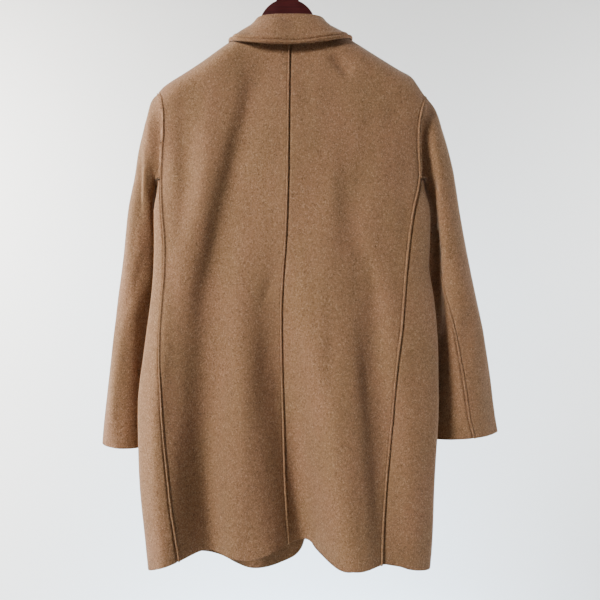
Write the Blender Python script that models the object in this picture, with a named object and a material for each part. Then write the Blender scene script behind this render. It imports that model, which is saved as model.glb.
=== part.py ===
"""A camel wool topcoat hanging on a wooden hanger, as closed thin-walled solids.

Units are metres and +Z is up. The coat's front faces -Y, so its back faces +Y, and +X is the
wearer's left. The origin is the inner top of the hanger's hook, where a rail or peg carries it.
Each cut piece is a cloth wall worked out from a surface function: the back, front and side panels
from horizontal sections with folds, the sleeves from rings, and the collar from a folded profile.
"""

import math
from collections import namedtuple

import bmesh
import bpy
from mathutils import Matrix, Vector

TURN_ANGLES = (0, 22, 45, 68)   # rows where a panel turns down from the shoulder ridge
YOKE_ROWS = 5             # from there to the underarm
BODY_ROWS = 18            # from the underarm to the hem
YOKE_END = len(TURN_ANGLES) + YOKE_ROWS
FACE_COLUMNS = 11
FRONT_EDGE_SHARES = (0.03, 0.055)   # more columns beside a front's edge, for its rounded corner
PANEL_WIDTH = 0.21        # a back or front panel, from its centre edge to its side seam
SIDE_COLUMNS = 8
COLLAR_STEPS = 15         # from the centre back to each front end

CLOTH = 0.0025            # wall of double-faced wool
SEAM_GAP = 0.0003         # clearance between two sewn pieces
RISE = 0.0013             # height of the raised seams
RISE_TOP = 0.0030         # from a seam to the top of its raised edge
RISE_FOOT = 0.0054        # from a seam to the foot of its raised edge

SIDE_POWER = 2.8          # how square the sections are: 2 is an ellipse
SHOULDER_DROP = 0.050     # height over which the cloth turns down from the shoulder ridge
RIDGE_Y = -0.004          # shoulder seams lie in this plane
UNDERARM_Z = -0.4155
TOP_PASSES = 24           # settles a leaning column's top on the shoulder ridge or neckline
YOKE_MIDDLE_Z = -0.200    # where the panels' columns are spaced at their tops
HEM_MIDDLE_Z = -1.060     # and at their hems
NECK_X = -0.005           # middle of the neck and of the hanger's arms
NECK_HALF = 0.082
NECK_BACK_Z = -0.170
NECK_FRONT_Z = -0.236
FRONT_EDGE_GAP = 0.0030   # between the two front edges, which hang side by side

Section = namedtuple("Section", "z right left mid_y back front")
SECTIONS = (
    Section(-0.140, -0.2640, 0.2520, -0.010, 0.050, 0.058),
    Section(-0.250, -0.2600, 0.2490, -0.010, 0.056, 0.062),
    Section(-0.340, -0.2510, 0.2390, -0.008, 0.058, 0.062),
    Section(-0.415, -0.2410, 0.2285, -0.002, 0.055, 0.062),
    Section(-0.466, -0.2495, 0.2341, 0.004, 0.052, 0.066),
    Section(-0.520, -0.2491, 0.2331, 0.008, 0.051, 0.070),
    Section(-0.572, -0.2470, 0.2333, 0.011, 0.050, 0.073),
    Section(-0.624, -0.2541, 0.2364, 0.015, 0.050, 0.075),
    Section(-0.700, -0.2600, 0.2460, 0.019, 0.052, 0.080),
    Section(-0.780, -0.2599, 0.2552, 0.022, 0.055, 0.085),
    Section(-0.831, -0.2581, 0.2553, 0.025, 0.056, 0.088),
    Section(-0.933, -0.2519, 0.2521, 0.030, 0.056, 0.093),
    Section(-1.034, -0.2462, 0.2401, 0.036, 0.055, 0.098),
    Section(-1.110, -0.2380, 0.2310, 0.040, 0.052, 0.100),
)

Ridge = namedtuple("Ridge", "x z")
SHOULDER = (
    Ridge(-0.2454, -0.2737), Ridge(-0.2393, -0.2613), Ridge(-0.2283, -0.2455),
    Ridge(-0.2171, -0.2308), Ridge(-0.1966, -0.2198), Ridge(-0.1596, -0.1977),
    Ridge(-0.1178, -0.1719), Ridge(-0.0750, -0.1459), Ridge(-0.0400, -0.1246),
    Ridge(NECK_X, -0.1031), Ridge(0.0300, -0.1259), Ridge(0.0650, -0.1486),
    Ridge(0.1036, -0.1736), Ridge(0.1458, -0.2033), Ridge(0.1814, -0.2256),
    Ridge(0.2159, -0.2467), Ridge(0.2290, -0.2599),
)

SeamRow = namedtuple("SeamRow", "z x")
# Armhole edge, then the side-back seam below the underarm.
BACK_EDGE = {
    "left": (
        SeamRow(-0.2560, 0.2270), SeamRow(-0.2750, 0.2180), SeamRow(-0.2970, 0.2134),
        SeamRow(-0.3170, 0.2130), SeamRow(-0.3392, 0.2136), SeamRow(-0.3715, 0.2164),
        SeamRow(-0.4155, 0.2183), SeamRow(-0.4710, 0.2145), SeamRow(-0.5225, 0.2090),
        SeamRow(-0.5735, 0.2085), SeamRow(-0.6240, 0.2112), SeamRow(-0.6740, 0.2135),
        SeamRow(-0.7235, 0.2127), SeamRow(-0.7725, 0.2094), SeamRow(-0.8212, 0.2060),
        SeamRow(-0.8695, 0.2012), SeamRow(-0.9174, 0.1957), SeamRow(-0.9649, 0.1902),
        SeamRow(-1.0120, 0.1829), SeamRow(-1.0600, 0.1760),
    ),
    "right": (
        SeamRow(-0.2600, -0.2400), SeamRow(-0.2725, -0.2390), SeamRow(-0.2873, -0.2350),
        SeamRow(-0.3093, -0.2293), SeamRow(-0.3392, -0.2268), SeamRow(-0.3659, -0.2272),
        SeamRow(-0.4155, -0.2285), SeamRow(-0.4710, -0.2157), SeamRow(-0.5225, -0.2076),
        SeamRow(-0.5735, -0.2017), SeamRow(-0.6240, -0.1967), SeamRow(-0.6740, -0.1918),
        SeamRow(-0.7235, -0.1849), SeamRow(-0.7725, -0.1802), SeamRow(-0.8212, -0.1763),
        SeamRow(-0.8695, -0.1715), SeamRow(-0.9174, -0.1667), SeamRow(-0.9649, -0.1623),
        SeamRow(-1.0120, -0.1586), SeamRow(-1.0600, -0.1560),
    ),
}
# The same edges on the hidden front, cut a little further in at the chest.
FRONT_EDGE = {
    "left": (
        SeamRow(-0.2560, 0.2270), SeamRow(-0.2750, 0.2150), SeamRow(-0.3050, 0.2060),
        SeamRow(-0.3400, 0.2050), SeamRow(-0.3750, 0.2110), SeamRow(-0.4155, 0.2180),
        SeamRow(-0.4700, 0.2080), SeamRow(-0.5700, 0.1950), SeamRow(-0.7000, 0.1940),
        SeamRow(-0.8500, 0.1920), SeamRow(-1.0900, 0.1820),
    ),
    "right": (
        SeamRow(-0.2600, -0.2400), SeamRow(-0.2750, -0.2280), SeamRow(-0.3050, -0.2180),
        SeamRow(-0.3400, -0.2160), SeamRow(-0.3750, -0.2220), SeamRow(-0.4155, -0.2290),
        SeamRow(-0.4700, -0.2180), SeamRow(-0.5700, -0.2040), SeamRow(-0.7000, -0.2010),
        SeamRow(-0.8500, -0.1970), SeamRow(-1.0900, -0.1850),
    ),
}
CENTRE_BACK = (
    SeamRow(-0.1700, -0.0047), SeamRow(-0.3000, -0.0030), SeamRow(-0.4210, -0.0017),
    SeamRow(-0.5227, 0.0017), SeamRow(-0.6240, 0.0084), SeamRow(-0.7250, 0.0085),
    SeamRow(-0.8270, 0.0059), SeamRow(-0.9315, 0.0036), SeamRow(-1.0380, -0.0030),
)
CENTRE_FRONT = (SeamRow(-0.2300, -0.0050), SeamRow(-0.6000, -0.0120), SeamRow(-1.1000, -0.0355))

Hem = namedtuple("Hem", "x back front")
HEM = (
    Hem(-0.2450, -1.0740, -1.0760), Hem(-0.2000, -1.0660, -1.0900), Hem(-0.1650, -1.0575, -1.1050),
    Hem(-0.1200, -1.0610, -1.1130), Hem(-0.0900, -1.0600, -1.1100), Hem(-0.0630, -1.0530, -1.0940),
    Hem(-0.0470, -1.0440, -1.0800), Hem(-0.0355, -1.0375, -1.0600), Hem(-0.0240, -1.0370, -1.0840),
    Hem(-0.0090, -1.0375, -1.0980), Hem(0.0200, -1.0433, -1.1040), Hem(0.0530, -1.0528, -1.1035),
    Hem(0.1000, -1.0558, -1.1050), Hem(0.1310, -1.0500, -1.0980), Hem(0.1600, -1.0510, -1.0900),
    Hem(0.1970, -1.0594, -1.0830), Hem(0.2340, -1.0760, -1.0780),
)

# One row for each large fold. Rises are outwards from the body, so a trough's are negative.
FOLD_LEVELS = (-0.29, -0.455, -0.625, -0.83, -1.05)
Fold = namedtuple("Fold", "face width nape_x blade_x waist_x hip_x hem_x nape blade waist hip hem")
FOLDS = (
    Fold("back", 0.030, 0.062, 0.083, 0.123, 0.134, 0.131, -0.003, -0.011, -0.021, -0.038, -0.052),
    Fold("back", 0.032, 0.099, 0.145, 0.184, 0.216, 0.198, 0.003, 0.006, 0.008, 0.010, 0.012),
    Fold("back", 0.034, 0.070, 0.062, 0.060, 0.045, 0.052, 0.000, 0.000, 0.002, -0.010, -0.018),
    Fold("back", 0.031, 0.030, 0.027, 0.025, -0.006, -0.031, 0.000, -0.003, -0.018, -0.042, -0.070),
    Fold("back", 0.036, -0.060, -0.070, -0.078, -0.085, -0.105, 0.000, 0.003, 0.007, 0.010, 0.012),
    Fold("back", 0.021, -0.110, -0.120, -0.140, -0.163, -0.165, 0.000, -0.003, -0.007, -0.012, -0.011),
    Fold("front", 0.032, 0.050, 0.055, 0.060, 0.060, 0.055, 0.000, -0.004, -0.014, -0.030, -0.045),
    Fold("front", 0.032, -0.070, -0.080, -0.095, -0.105, -0.110, 0.000, -0.003, -0.011, -0.026, -0.040),
    Fold("front", 0.036, 0.120, 0.130, 0.138, 0.140, 0.138, 0.000, 0.004, 0.008, 0.011, 0.013),
    Fold("front", 0.036, -0.135, -0.150, -0.165, -0.175, -0.180, 0.000, 0.003, 0.008, 0.012, 0.014),
)

# A sleeve ring runs through an outer point, away from the body, and an inner one, beside it.
SleeveRing = namedtuple("SleeveRing", "outer_x outer_z inner_x inner_z mid_y half_depth")
SLEEVES = {
    "left": (
        SleeveRing(0.2431, -0.2667, 0.2370, -0.4300, -0.0190, 0.0400),
        SleeveRing(0.2512, -0.2892, 0.2390, -0.4480, -0.0260, 0.0440),
        SleeveRing(0.2592, -0.3157, 0.2390, -0.4690, -0.0310, 0.0480),
        SleeveRing(0.2680, -0.3510, 0.2380, -0.4930, -0.0350, 0.0510),
        SleeveRing(0.2751, -0.3930, 0.2370, -0.5220, -0.0390, 0.0540),
        SleeveRing(0.2870, -0.4500, 0.2365, -0.5600, -0.0430, 0.0580),
        SleeveRing(0.2970, -0.5300, 0.2375, -0.6100, -0.0460, 0.0600),
        SleeveRing(0.3090, -0.6240, 0.2430, -0.6750, -0.0480, 0.0610),
        SleeveRing(0.3191, -0.6973, 0.2480, -0.7300, -0.0490, 0.0600),
        SleeveRing(0.3274, -0.7707, 0.2510, -0.7880, -0.0490, 0.0590),
        SleeveRing(0.3356, -0.8440, 0.2510, -0.8500, -0.0480, 0.0570),
        SleeveRing(0.3384, -0.8825, 0.2500, -0.8870, -0.0470, 0.0560),
    ),
    "right": (
        SleeveRing(-0.2600, -0.2750, -0.2520, -0.4300, -0.0190, 0.0400),
        SleeveRing(-0.2690, -0.2910, -0.2550, -0.4480, -0.0250, 0.0430),
        SleeveRing(-0.2770, -0.3150, -0.2555, -0.4690, -0.0290, 0.0460),
        SleeveRing(-0.2880, -0.3490, -0.2540, -0.4930, -0.0320, 0.0490),
        SleeveRing(-0.2985, -0.3880, -0.2520, -0.5220, -0.0350, 0.0510),
        SleeveRing(-0.3110, -0.4560, -0.2500, -0.5600, -0.0370, 0.0530),
        SleeveRing(-0.3262, -0.5323, -0.2510, -0.6100, -0.0380, 0.0540),
        SleeveRing(-0.3420, -0.6110, -0.2550, -0.6700, -0.0370, 0.0540),
        SleeveRing(-0.3546, -0.6790, -0.2560, -0.7250, -0.0350, 0.0520),
        SleeveRing(-0.3657, -0.7523, -0.2550, -0.7800, -0.0330, 0.0490),
        SleeveRing(-0.3739, -0.8257, -0.2540, -0.8380, -0.0310, 0.0460),
        SleeveRing(-0.3794, -0.8605, -0.2530, -0.8720, -0.0300, 0.0440),
    ),
}
# Turn of the sleeve's seams from armhole to cuff, in degrees, towards the outer side.
SLEEVE_TWIST = {"left": 0.0, "right": 48.0}
BACK_SEAM_DEGREES = 118.0
FRONT_SEAM_DEGREES = 245.0

# The collar, a row for each place from the centre back to the front end: the roll line at the
# top and the free edge that lies over the shoulder.
CollarRow = namedtuple("CollarRow", "along roll_x roll_y roll_z edge_x edge_y edge_z")
COLLAR = (
    CollarRow(0.00, 0.0000, 0.0460, -0.1388, 0.000, 0.0620, -0.1975),
    CollarRow(0.14, 0.0290, 0.0450, -0.1388, 0.038, 0.0615, -0.1962),
    CollarRow(0.27, 0.0530, 0.0370, -0.1390, 0.069, 0.0580, -0.1915),
    CollarRow(0.38, 0.0635, 0.0200, -0.1410, 0.094, 0.0450, -0.1835),
    CollarRow(0.46, 0.0660, 0.0040, -0.1445, 0.106, 0.0250, -0.1760),
    CollarRow(0.54, 0.0655, -0.0160, -0.1495, 0.110, -0.0060, -0.1700),
    CollarRow(0.60, 0.0635, -0.0360, -0.1560, 0.110, -0.0350, -0.1760),
    CollarRow(0.68, 0.0585, -0.0570, -0.1670, 0.106, -0.0600, -0.1930),
    CollarRow(0.78, 0.0485, -0.0710, -0.1820, 0.096, -0.0730, -0.2190),
    CollarRow(0.89, 0.0280, -0.0780, -0.2010, 0.075, -0.0760, -0.2445),
    CollarRow(1.00, 0.0060, -0.0810, -0.2230, 0.040, -0.0780, -0.2680),
)
COLLAR_TILT = 0.045       # the free edge climbs this much per metre towards the right shoulder
ROLL_RADIUS = 0.0032
FALL_BELLY = 0.003        # how far the fall bulges outwards between roll and edge
FALL_ARCH = {"left": 0.0046, "right": 0.0080}   # and upwards, where it passes over the shoulder
STAND_LIFT = 0.0018       # the stand's foot above the neckline

BUTTON_RADIUS = 0.0125
BUTTON_THICKNESS = 0.004
BUTTON_INSET = 0.030      # from the front edge to a button's centre
BUTTON_HEIGHTS = (-0.300, -0.425, -0.550, -0.675)

HANGER_HALF_THICKNESS = 0.008
HANGER_END = 0.208        # from the hook to an arm's end
ARM_UNDER_RIDGE = 0.0050  # cloth, clearance and the turn of the shoulder over the arm
NECK_DIP = 0.012          # the arms lie this much deeper inside the neck, clear of the collar
CREST_TOP_Z = -0.081
CREST_HALF = 0.0195
DOME_RADIUS = 0.050
DOME_CENTRE_Z = -0.1445
ARM_DEPTH_CENTRE = 0.044
ARM_DEPTH_END = 0.026
HOOK_RADIUS = 0.019       # middle of the wire
WIRE = 0.0019             # half of the wire's thickness
FERRULE_RADIUS = 0.0055
FERRULE_HEIGHT = 0.006


def clear_scene():
    for item in list(bpy.data.objects):
        bpy.data.objects.remove(item, do_unlink=True)


def make_material(name, colour, roughness, metallic=0.0):
    material = bpy.data.materials.new(name)
    material.use_nodes = True
    shader = material.node_tree.nodes["Principled BSDF"]
    shader.inputs["Base Color"].default_value = (*colour, 1.0)
    shader.inputs["Roughness"].default_value = roughness
    shader.inputs["Metallic"].default_value = metallic
    return material


def curve_through(places, values, place):
    """Smooth value at a place on the curve through the given rows, in either order of places."""
    if places[0] > places[-1]:
        places, values = places[::-1], values[::-1]
    if place <= places[0]:
        return values[0]
    if place >= places[-1]:
        return values[-1]
    row = 0
    while places[row + 1] < place:
        row += 1
    span = places[row + 1] - places[row]
    slope = (values[row + 1] - values[row]) / span

    def tangent(index):
        if index == 0 or index == len(places) - 1:
            return slope
        return (values[index + 1] - values[index - 1]) / (places[index + 1] - places[index - 1])

    part = (place - places[row]) / span
    start, end = tangent(row) * span, tangent(row + 1) * span
    rise = values[row + 1] - values[row]
    return (values[row] + part * start
            + part ** 2 * (3 * rise - 2 * start - end)
            + part ** 3 * (start + end - 2 * rise))


def column(rows, place_name, value_name, place):
    places = [getattr(row, place_name) for row in rows]
    values = [getattr(row, value_name) for row in rows]
    return curve_through(places, values, place)


def soft_step(value):
    value = min(max(value, 0.0), 1.0)
    return value * value * (3 - 2 * value)


def section(z):
    """Middle x, half width, middle y, back depth and front depth of the body at a height."""
    right = column(SECTIONS, "z", "right", z)
    left = column(SECTIONS, "z", "left", z)
    return ((left + right) / 2, (left - right) / 2, column(SECTIONS, "z", "mid_y", z),
            column(SECTIONS, "z", "back", z), column(SECTIONS, "z", "front", z))


def fold_rise(face, x, z):
    """Height of the folds over the plain section."""
    total = 0.0
    for fold in FOLDS:
        if fold.face != face:
            continue
        fold_x = curve_through(FOLD_LEVELS, fold[2:7], z)
        depth = curve_through(FOLD_LEVELS, fold[7:12], z)
        total += depth * math.exp(-((x - fold_x) / fold.width) ** 2 / 2)
    return total


def side_fade(share):
    """1 over the broad faces and 0 at the side, so that folds die out before they turn it."""
    return 1 - soft_step((abs(share) - 0.80) / 0.20)


def face_point(face, x, z):
    """Point of the coat's outside on its back or front face."""
    middle_x, half, middle_y, back, front = section(z)
    share = min(abs(x - middle_x) / half, 0.999)
    reach = (1 - share ** SIDE_POWER) ** (1 / SIDE_POWER)
    drop = (column(SHOULDER, "x", "z", x) - z) / SHOULDER_DROP
    turn = math.sqrt(max(1 - (1 - min(max(drop, 0.0), 1.0)) ** 2, 0.0))
    depth = (back if face == "back" else front) * reach + fold_rise(face, x, z) * side_fade(share)
    sign = 1 if face == "back" else -1
    near_ridge = 1 - soft_step(drop / 3)
    base_y = middle_y * (1 - near_ridge) + RIDGE_Y * near_ridge
    return Vector((x, base_y + sign * depth * turn, z))


def side_point(side, around, z):
    """Point of the outside beyond the faces; around runs from 1 at the back to -1 at the front."""
    middle_x, half, middle_y, back, front = section(z)
    edges = BACK_EDGE if around >= 0 else FRONT_EDGE
    seam_x = column(edges[side], "z", "x", z)
    seam_share = abs(seam_x - middle_x) / half
    seam_reach = (1 - seam_share ** SIDE_POWER) ** (1 / SIDE_POWER)
    reach = seam_reach * abs(around)
    share = (1 - reach ** SIDE_POWER) ** (1 / SIDE_POWER)
    x = middle_x + (half if side == "left" else -half) * share
    face = "back" if around >= 0 else "front"
    depth = (back if face == "back" else front) * reach + fold_rise(face, x, z) * side_fade(share)
    return Vector((x, middle_y + (depth if around >= 0 else -depth), z))


def hem_height(face, x):
    return column(HEM, "x", face, x)


def neck_height(face, x):
    """Height of the neckline, rising to the shoulder ridge at the side of the neck."""
    share = min(abs(x - NECK_X) / NECK_HALF, 1.0)
    ridge = column(SHOULDER, "x", "z", NECK_X + math.copysign(NECK_HALF, x - NECK_X))
    middle = NECK_BACK_Z if face == "back" else NECK_FRONT_Z
    return middle + (ridge - middle) * share ** (2.5 if face == "back" else 3.5)


def top_height(face, x):
    if abs(x - NECK_X) < NECK_HALF:
        return neck_height(face, x)
    return column(SHOULDER, "x", "z", x)


def link(name, mesh, material):
    mesh.materials.append(material)
    item = bpy.data.objects.new(name, mesh)
    bpy.context.scene.collection.objects.link(item)
    mesh.shade_smooth()
    mesh.set_sharp_from_angle(angle=math.radians(40))
    return item


def wall(name, outer, inner, material):
    """Closed wall between an outer and an inner grid of points, both as rows of columns."""
    rows, columns = len(outer), len(outer[0])
    model = bmesh.new()
    skins = [[[model.verts.new(point) for point in row] for row in grid] for grid in (outer, inner)]
    for skin in skins:
        for row in range(rows - 1):
            for place in range(columns - 1):
                model.faces.new((skin[row][place], skin[row][place + 1],
                                 skin[row + 1][place + 1], skin[row + 1][place]))
    border = ([(0, place) for place in range(columns)]
              + [(row, columns - 1) for row in range(1, rows)]
              + [(rows - 1, place) for place in range(columns - 2, -1, -1)]
              + [(row, 0) for row in range(rows - 2, 0, -1)])
    for first, second in zip(border, border[1:] + border[:1]):
        low, high = sorted((first, second))
        outer_low, inner_low = (skin[low[0]][low[1]] for skin in skins)
        outer_high, inner_high = (skin[high[0]][high[1]] for skin in skins)
        model.faces.new((outer_low, outer_high, inner_high))
        model.faces.new((outer_low, inner_high, inner_low))
    bmesh.ops.recalc_face_normals(model, faces=model.faces)
    mesh = bpy.data.meshes.new(name)
    model.to_mesh(mesh)
    model.free()
    return link(name, mesh, material)


def panel_heights(top, hem):
    """Heights down one column of a panel: dense over the shoulder, then even to the hem."""
    turned = SHOULDER_DROP * 0.9
    heights = [top - turned * (1 - math.cos(math.radians(angle))) for angle in TURN_ANGLES]
    heights[0] = top - 1e-6
    start = top - turned
    heights += [start + (UNDERARM_Z - start) * row / YOKE_ROWS for row in range(YOKE_ROWS)]
    heights += [UNDERARM_Z + (hem - UNDERARM_Z) * row / BODY_ROWS for row in range(BODY_ROWS + 1)]
    return heights


def spaced(count, start_edge, end_edge, width):
    """Shares across a panel, with extra columns for the raised edges."""
    near, foot = RISE_TOP / width, RISE_FOOT / width
    shares = [0.0]
    start = 0.0
    end = 1.0
    if start_edge:
        shares += [near, foot]
        start = foot
    if end_edge:
        end = 1 - foot
    shares += [start + (end - start) * step / count for step in range(1, count)]
    if end_edge:
        shares += [1 - foot, 1 - near]
    return shares + [1.0]


def edge_rise(share, width, start_edge, end_edge):
    """Extra height of the outer points over a raised seam."""
    distances = []
    if start_edge:
        distances.append(share * width)
    if end_edge:
        distances.append((1 - share) * width)
    if not distances:
        return 0.0
    distance = min(distances)
    if distance >= RISE_FOOT * 0.999:
        return 0.0
    return RISE if distance > RISE_TOP * 0.5 else RISE * 0.6


def body_panel(face, side, material):
    """Half of the back, or one front, from its centre edge to the armhole and side seam."""
    sign = 1 if side == "left" else -1
    centre = CENTRE_BACK if face == "back" else CENTRE_FRONT
    edge = (BACK_EDGE if face == "back" else FRONT_EDGE)[side]
    half_gap = (SEAM_GAP if face == "back" else FRONT_EDGE_GAP) / 2
    raised = face == "back"
    shares = spaced(FACE_COLUMNS, raised and side == "left", raised, PANEL_WIDTH)
    if face == "front":
        shares = sorted(shares + list(FRONT_EDGE_SHARES))

    def x_at(share, z):
        start = column(centre, "z", "x", z) + sign * half_gap
        end = column(edge, "z", "x", z) - sign * SEAM_GAP / 2
        return start + (end - start) * share

    # One column runs down from the side of the neck, where the neckline meets the shoulder seam.
    centre_x, edge_x = x_at(0, YOKE_MIDDLE_Z), x_at(1, YOKE_MIDDLE_Z)
    neck_share = (NECK_X + sign * NECK_HALF - centre_x) / (edge_x - centre_x)
    nearest = min(range(len(shares)), key=lambda index: abs(shares[index] - neck_share))
    shares[nearest] = neck_share

    columns = []
    for share in shares:
        top = YOKE_MIDDLE_Z
        for _ in range(TOP_PASSES):
            top = (top + top_height(face, x_at(share, top))) / 2
        hem = hem_height(face, x_at(share, HEM_MIDDLE_Z))
        columns.append(panel_heights(top, hem))

    outer, inner = [], []
    for row in range(len(columns[0])):
        outer_row, inner_row = [], []
        for index, share in enumerate(shares):
            z = columns[index][row]
            point = face_point(face, x_at(share, z), z)
            normal = face_normal(face, point, z)
            lift = 0.0
            if row:
                lift = edge_rise(share, PANEL_WIDTH, raised and side == "left", raised)
            outer_row.append(behind_ridge(face, point + normal * lift, row))
            inner_row.append(behind_ridge(face, point - normal * CLOTH, row))
        outer.append(outer_row)
        inner.append(inner_row)
    wall(f"{face}_{side}", outer, inner, material)
    return outer, inner


def behind_ridge(face, point, row):
    """Keep the points near the shoulder seam on their own side of its plane."""
    if row < YOKE_END:
        if face == "back":
            point.y = max(point.y, RIDGE_Y + SEAM_GAP / 2)
        else:
            point.y = min(point.y, RIDGE_Y - SEAM_GAP / 2)
    return point


def face_normal(face, point, z):
    """Outward normal of a face, also at the ridge, where it points up."""
    step = 0.0015
    ridge = column(SHOULDER, "x", "z", point.x)
    if ridge - z < 1e-4 and abs(point.x - NECK_X) > NECK_HALF * 0.9:
        slope = (column(SHOULDER, "x", "z", point.x + step)
                 - column(SHOULDER, "x", "z", point.x - step)) / (2 * step)
        return Vector((-slope, 0, 1)).normalized()
    across = face_point(face, point.x + step, z) - face_point(face, point.x - step, z)
    low = face_point(face, point.x, z - step)
    high = face_point(face, point.x, min(z + step, ridge - 1e-6))
    normal = across.cross(high - low).normalized()
    return normal if normal.y * (1 if face == "back" else -1) >= 0 else -normal


def side_panel(side, material):
    """Panel under the arm, from the side-back seam round the side to the side-front seam."""
    arounds = [1 - 2 * step / SIDE_COLUMNS for step in range(SIDE_COLUMNS + 1)]
    outer, inner = [], []
    for row in range(BODY_ROWS + 1):
        outer_row, inner_row = [], []
        for around in arounds:
            foot = side_point(side, around, HEM_MIDDLE_Z)
            hem_back = hem_height("back", foot.x)
            hem_front = hem_height("front", foot.x)
            hem = hem_front + (hem_back - hem_front) * soft_step((around + 1) / 2)
            z = UNDERARM_Z + (hem - UNDERARM_Z) * row / BODY_ROWS
            point = side_point(side, around, z)
            normal = side_normal(side, around, z)
            if abs(around) == 1:
                normal = face_normal("back" if around > 0 else "front", point, z)
                point += (side_point(side, around * 0.98, z) - point).normalized() * SEAM_GAP / 2
            outer_row.append(point)
            inner_row.append(point - normal * CLOTH)
        outer.append(outer_row)
        inner.append(inner_row)
    wall(f"side_{side}", outer, inner, material)
    return outer, inner


def side_normal(side, around, z):
    step = 0.02
    ahead, behind = max(around - step, -1.0), min(around + step, 1.0)
    across = side_point(side, ahead, z) - side_point(side, behind, z)
    down = side_point(side, around, z - 0.003) - side_point(side, around, z + 0.003)
    normal = across.cross(down).normalized()
    return normal if normal.x * (1 if side == "left" else -1) >= 0 else -normal


def armhole(side, back, front, under):
    """Loop of (outer, inner) pairs round the armhole, from the tip down the back and up the front."""
    back_outer, back_inner = back
    front_outer, front_inner = front
    under_outer = under[0]
    loop = []
    sign = 1 if side == "left" else -1
    beyond = Vector((sign, 0, 0)) * SEAM_GAP
    above = Vector((0, 0, 1))
    for row in range(YOKE_END):
        loop.append((back_outer[row][-1] + beyond, back_inner[row][-1] + beyond))
    for point in under_outer[0]:
        loop.append((point + above * SEAM_GAP, point + above * (SEAM_GAP + CLOTH)))
    for row in range(YOKE_END - 1, 0, -1):
        loop.append((front_outer[row][-1] + beyond, front_inner[row][-1] + beyond))
    return loop


def sleeve(side, pairs, material):
    """Upper and under sleeve, from the armhole's own points through the rings to the cuff."""
    middle = sum((outer for outer, _ in pairs), Vector()) / len(pairs)
    top_z = pairs[0][0].z
    half_height = (top_z - UNDERARM_Z) / 2
    half_width = max(outer.y for outer, _ in pairs) - middle.y
    centre_z = (top_z + UNDERARM_Z) / 2
    angles = []
    for outer, _ in pairs:
        angle = math.degrees(math.atan2((outer.y - middle.y) / half_width,
                                        (outer.z - centre_z) / half_height))
        angles.append(angle % 360)
    angles[0] = 0.0
    rings = SLEEVES[side]
    outer_rings = [[outer for outer, _ in pairs]]
    for index, ring in enumerate(rings):
        turn = SLEEVE_TWIST[side] * soft_step((index + 1) / len(rings))
        outer_rings.append([sleeve_point(ring, angle - turn) for angle in angles])
    inner_rings = [[inner for _, inner in pairs]]
    count = len(angles)
    for index in range(1, len(outer_rings)):
        before = outer_rings[index - 1]
        here = outer_rings[index]
        after = outer_rings[min(index + 1, len(outer_rings) - 1)]
        row = []
        for place in range(count):
            around = here[(place + 1) % count] - here[place - 1]
            along = after[place] - before[place]
            normal = around.cross(along).normalized()
            ring_middle = (here[0] + here[count // 2]) / 2
            if normal.dot(here[place] - ring_middle) < 0:
                normal = -normal
            row.append(here[place] - normal * CLOTH)
        inner_rings.append(row)
    back_seam = min(range(count), key=lambda place: abs(angles[place] - BACK_SEAM_DEGREES))
    front_seam = min(range(count), key=lambda place: abs(angles[place] - FRONT_SEAM_DEGREES))
    under_places = list(range(back_seam, front_seam + 1))
    upper_places = list(range(front_seam, count)) + list(range(0, back_seam + 1))
    for name, places in (("upper", upper_places), ("under", under_places)):
        grids = []
        for rings_now in (outer_rings, inner_rings):
            grid = []
            for ring in rings_now:
                points = [ring[place].copy() for place in places]
                points[0] += (points[1] - points[0]).normalized() * SEAM_GAP / 2
                points[-1] += (points[-2] - points[-1]).normalized() * SEAM_GAP / 2
                grid.append(points)
            grids.append(grid)
        wall(f"{name}_sleeve_{side}", grids[0], grids[1], material)


def sleeve_point(ring, degrees):
    angle = math.radians(degrees)
    middle = Vector(((ring.outer_x + ring.inner_x) / 2, ring.mid_y, (ring.outer_z + ring.inner_z) / 2))
    reach = Vector(((ring.outer_x - ring.inner_x) / 2, 0, (ring.outer_z - ring.inner_z) / 2))
    return middle + reach * math.cos(angle) + Vector((0, ring.half_depth, 0)) * math.sin(angle)


def neckline_point(along, side):
    """Point on the coat's neckline: along runs from 0 at the centre back to 1 at the centre front."""
    sign = 1 if side == "left" else -1
    x = NECK_X + sign * NECK_HALF * math.sin(math.pi * min(along, 0.985))
    face = "back" if along <= 0.5 else "front"
    return face_point(face, x, neck_height(face, x))


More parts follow.
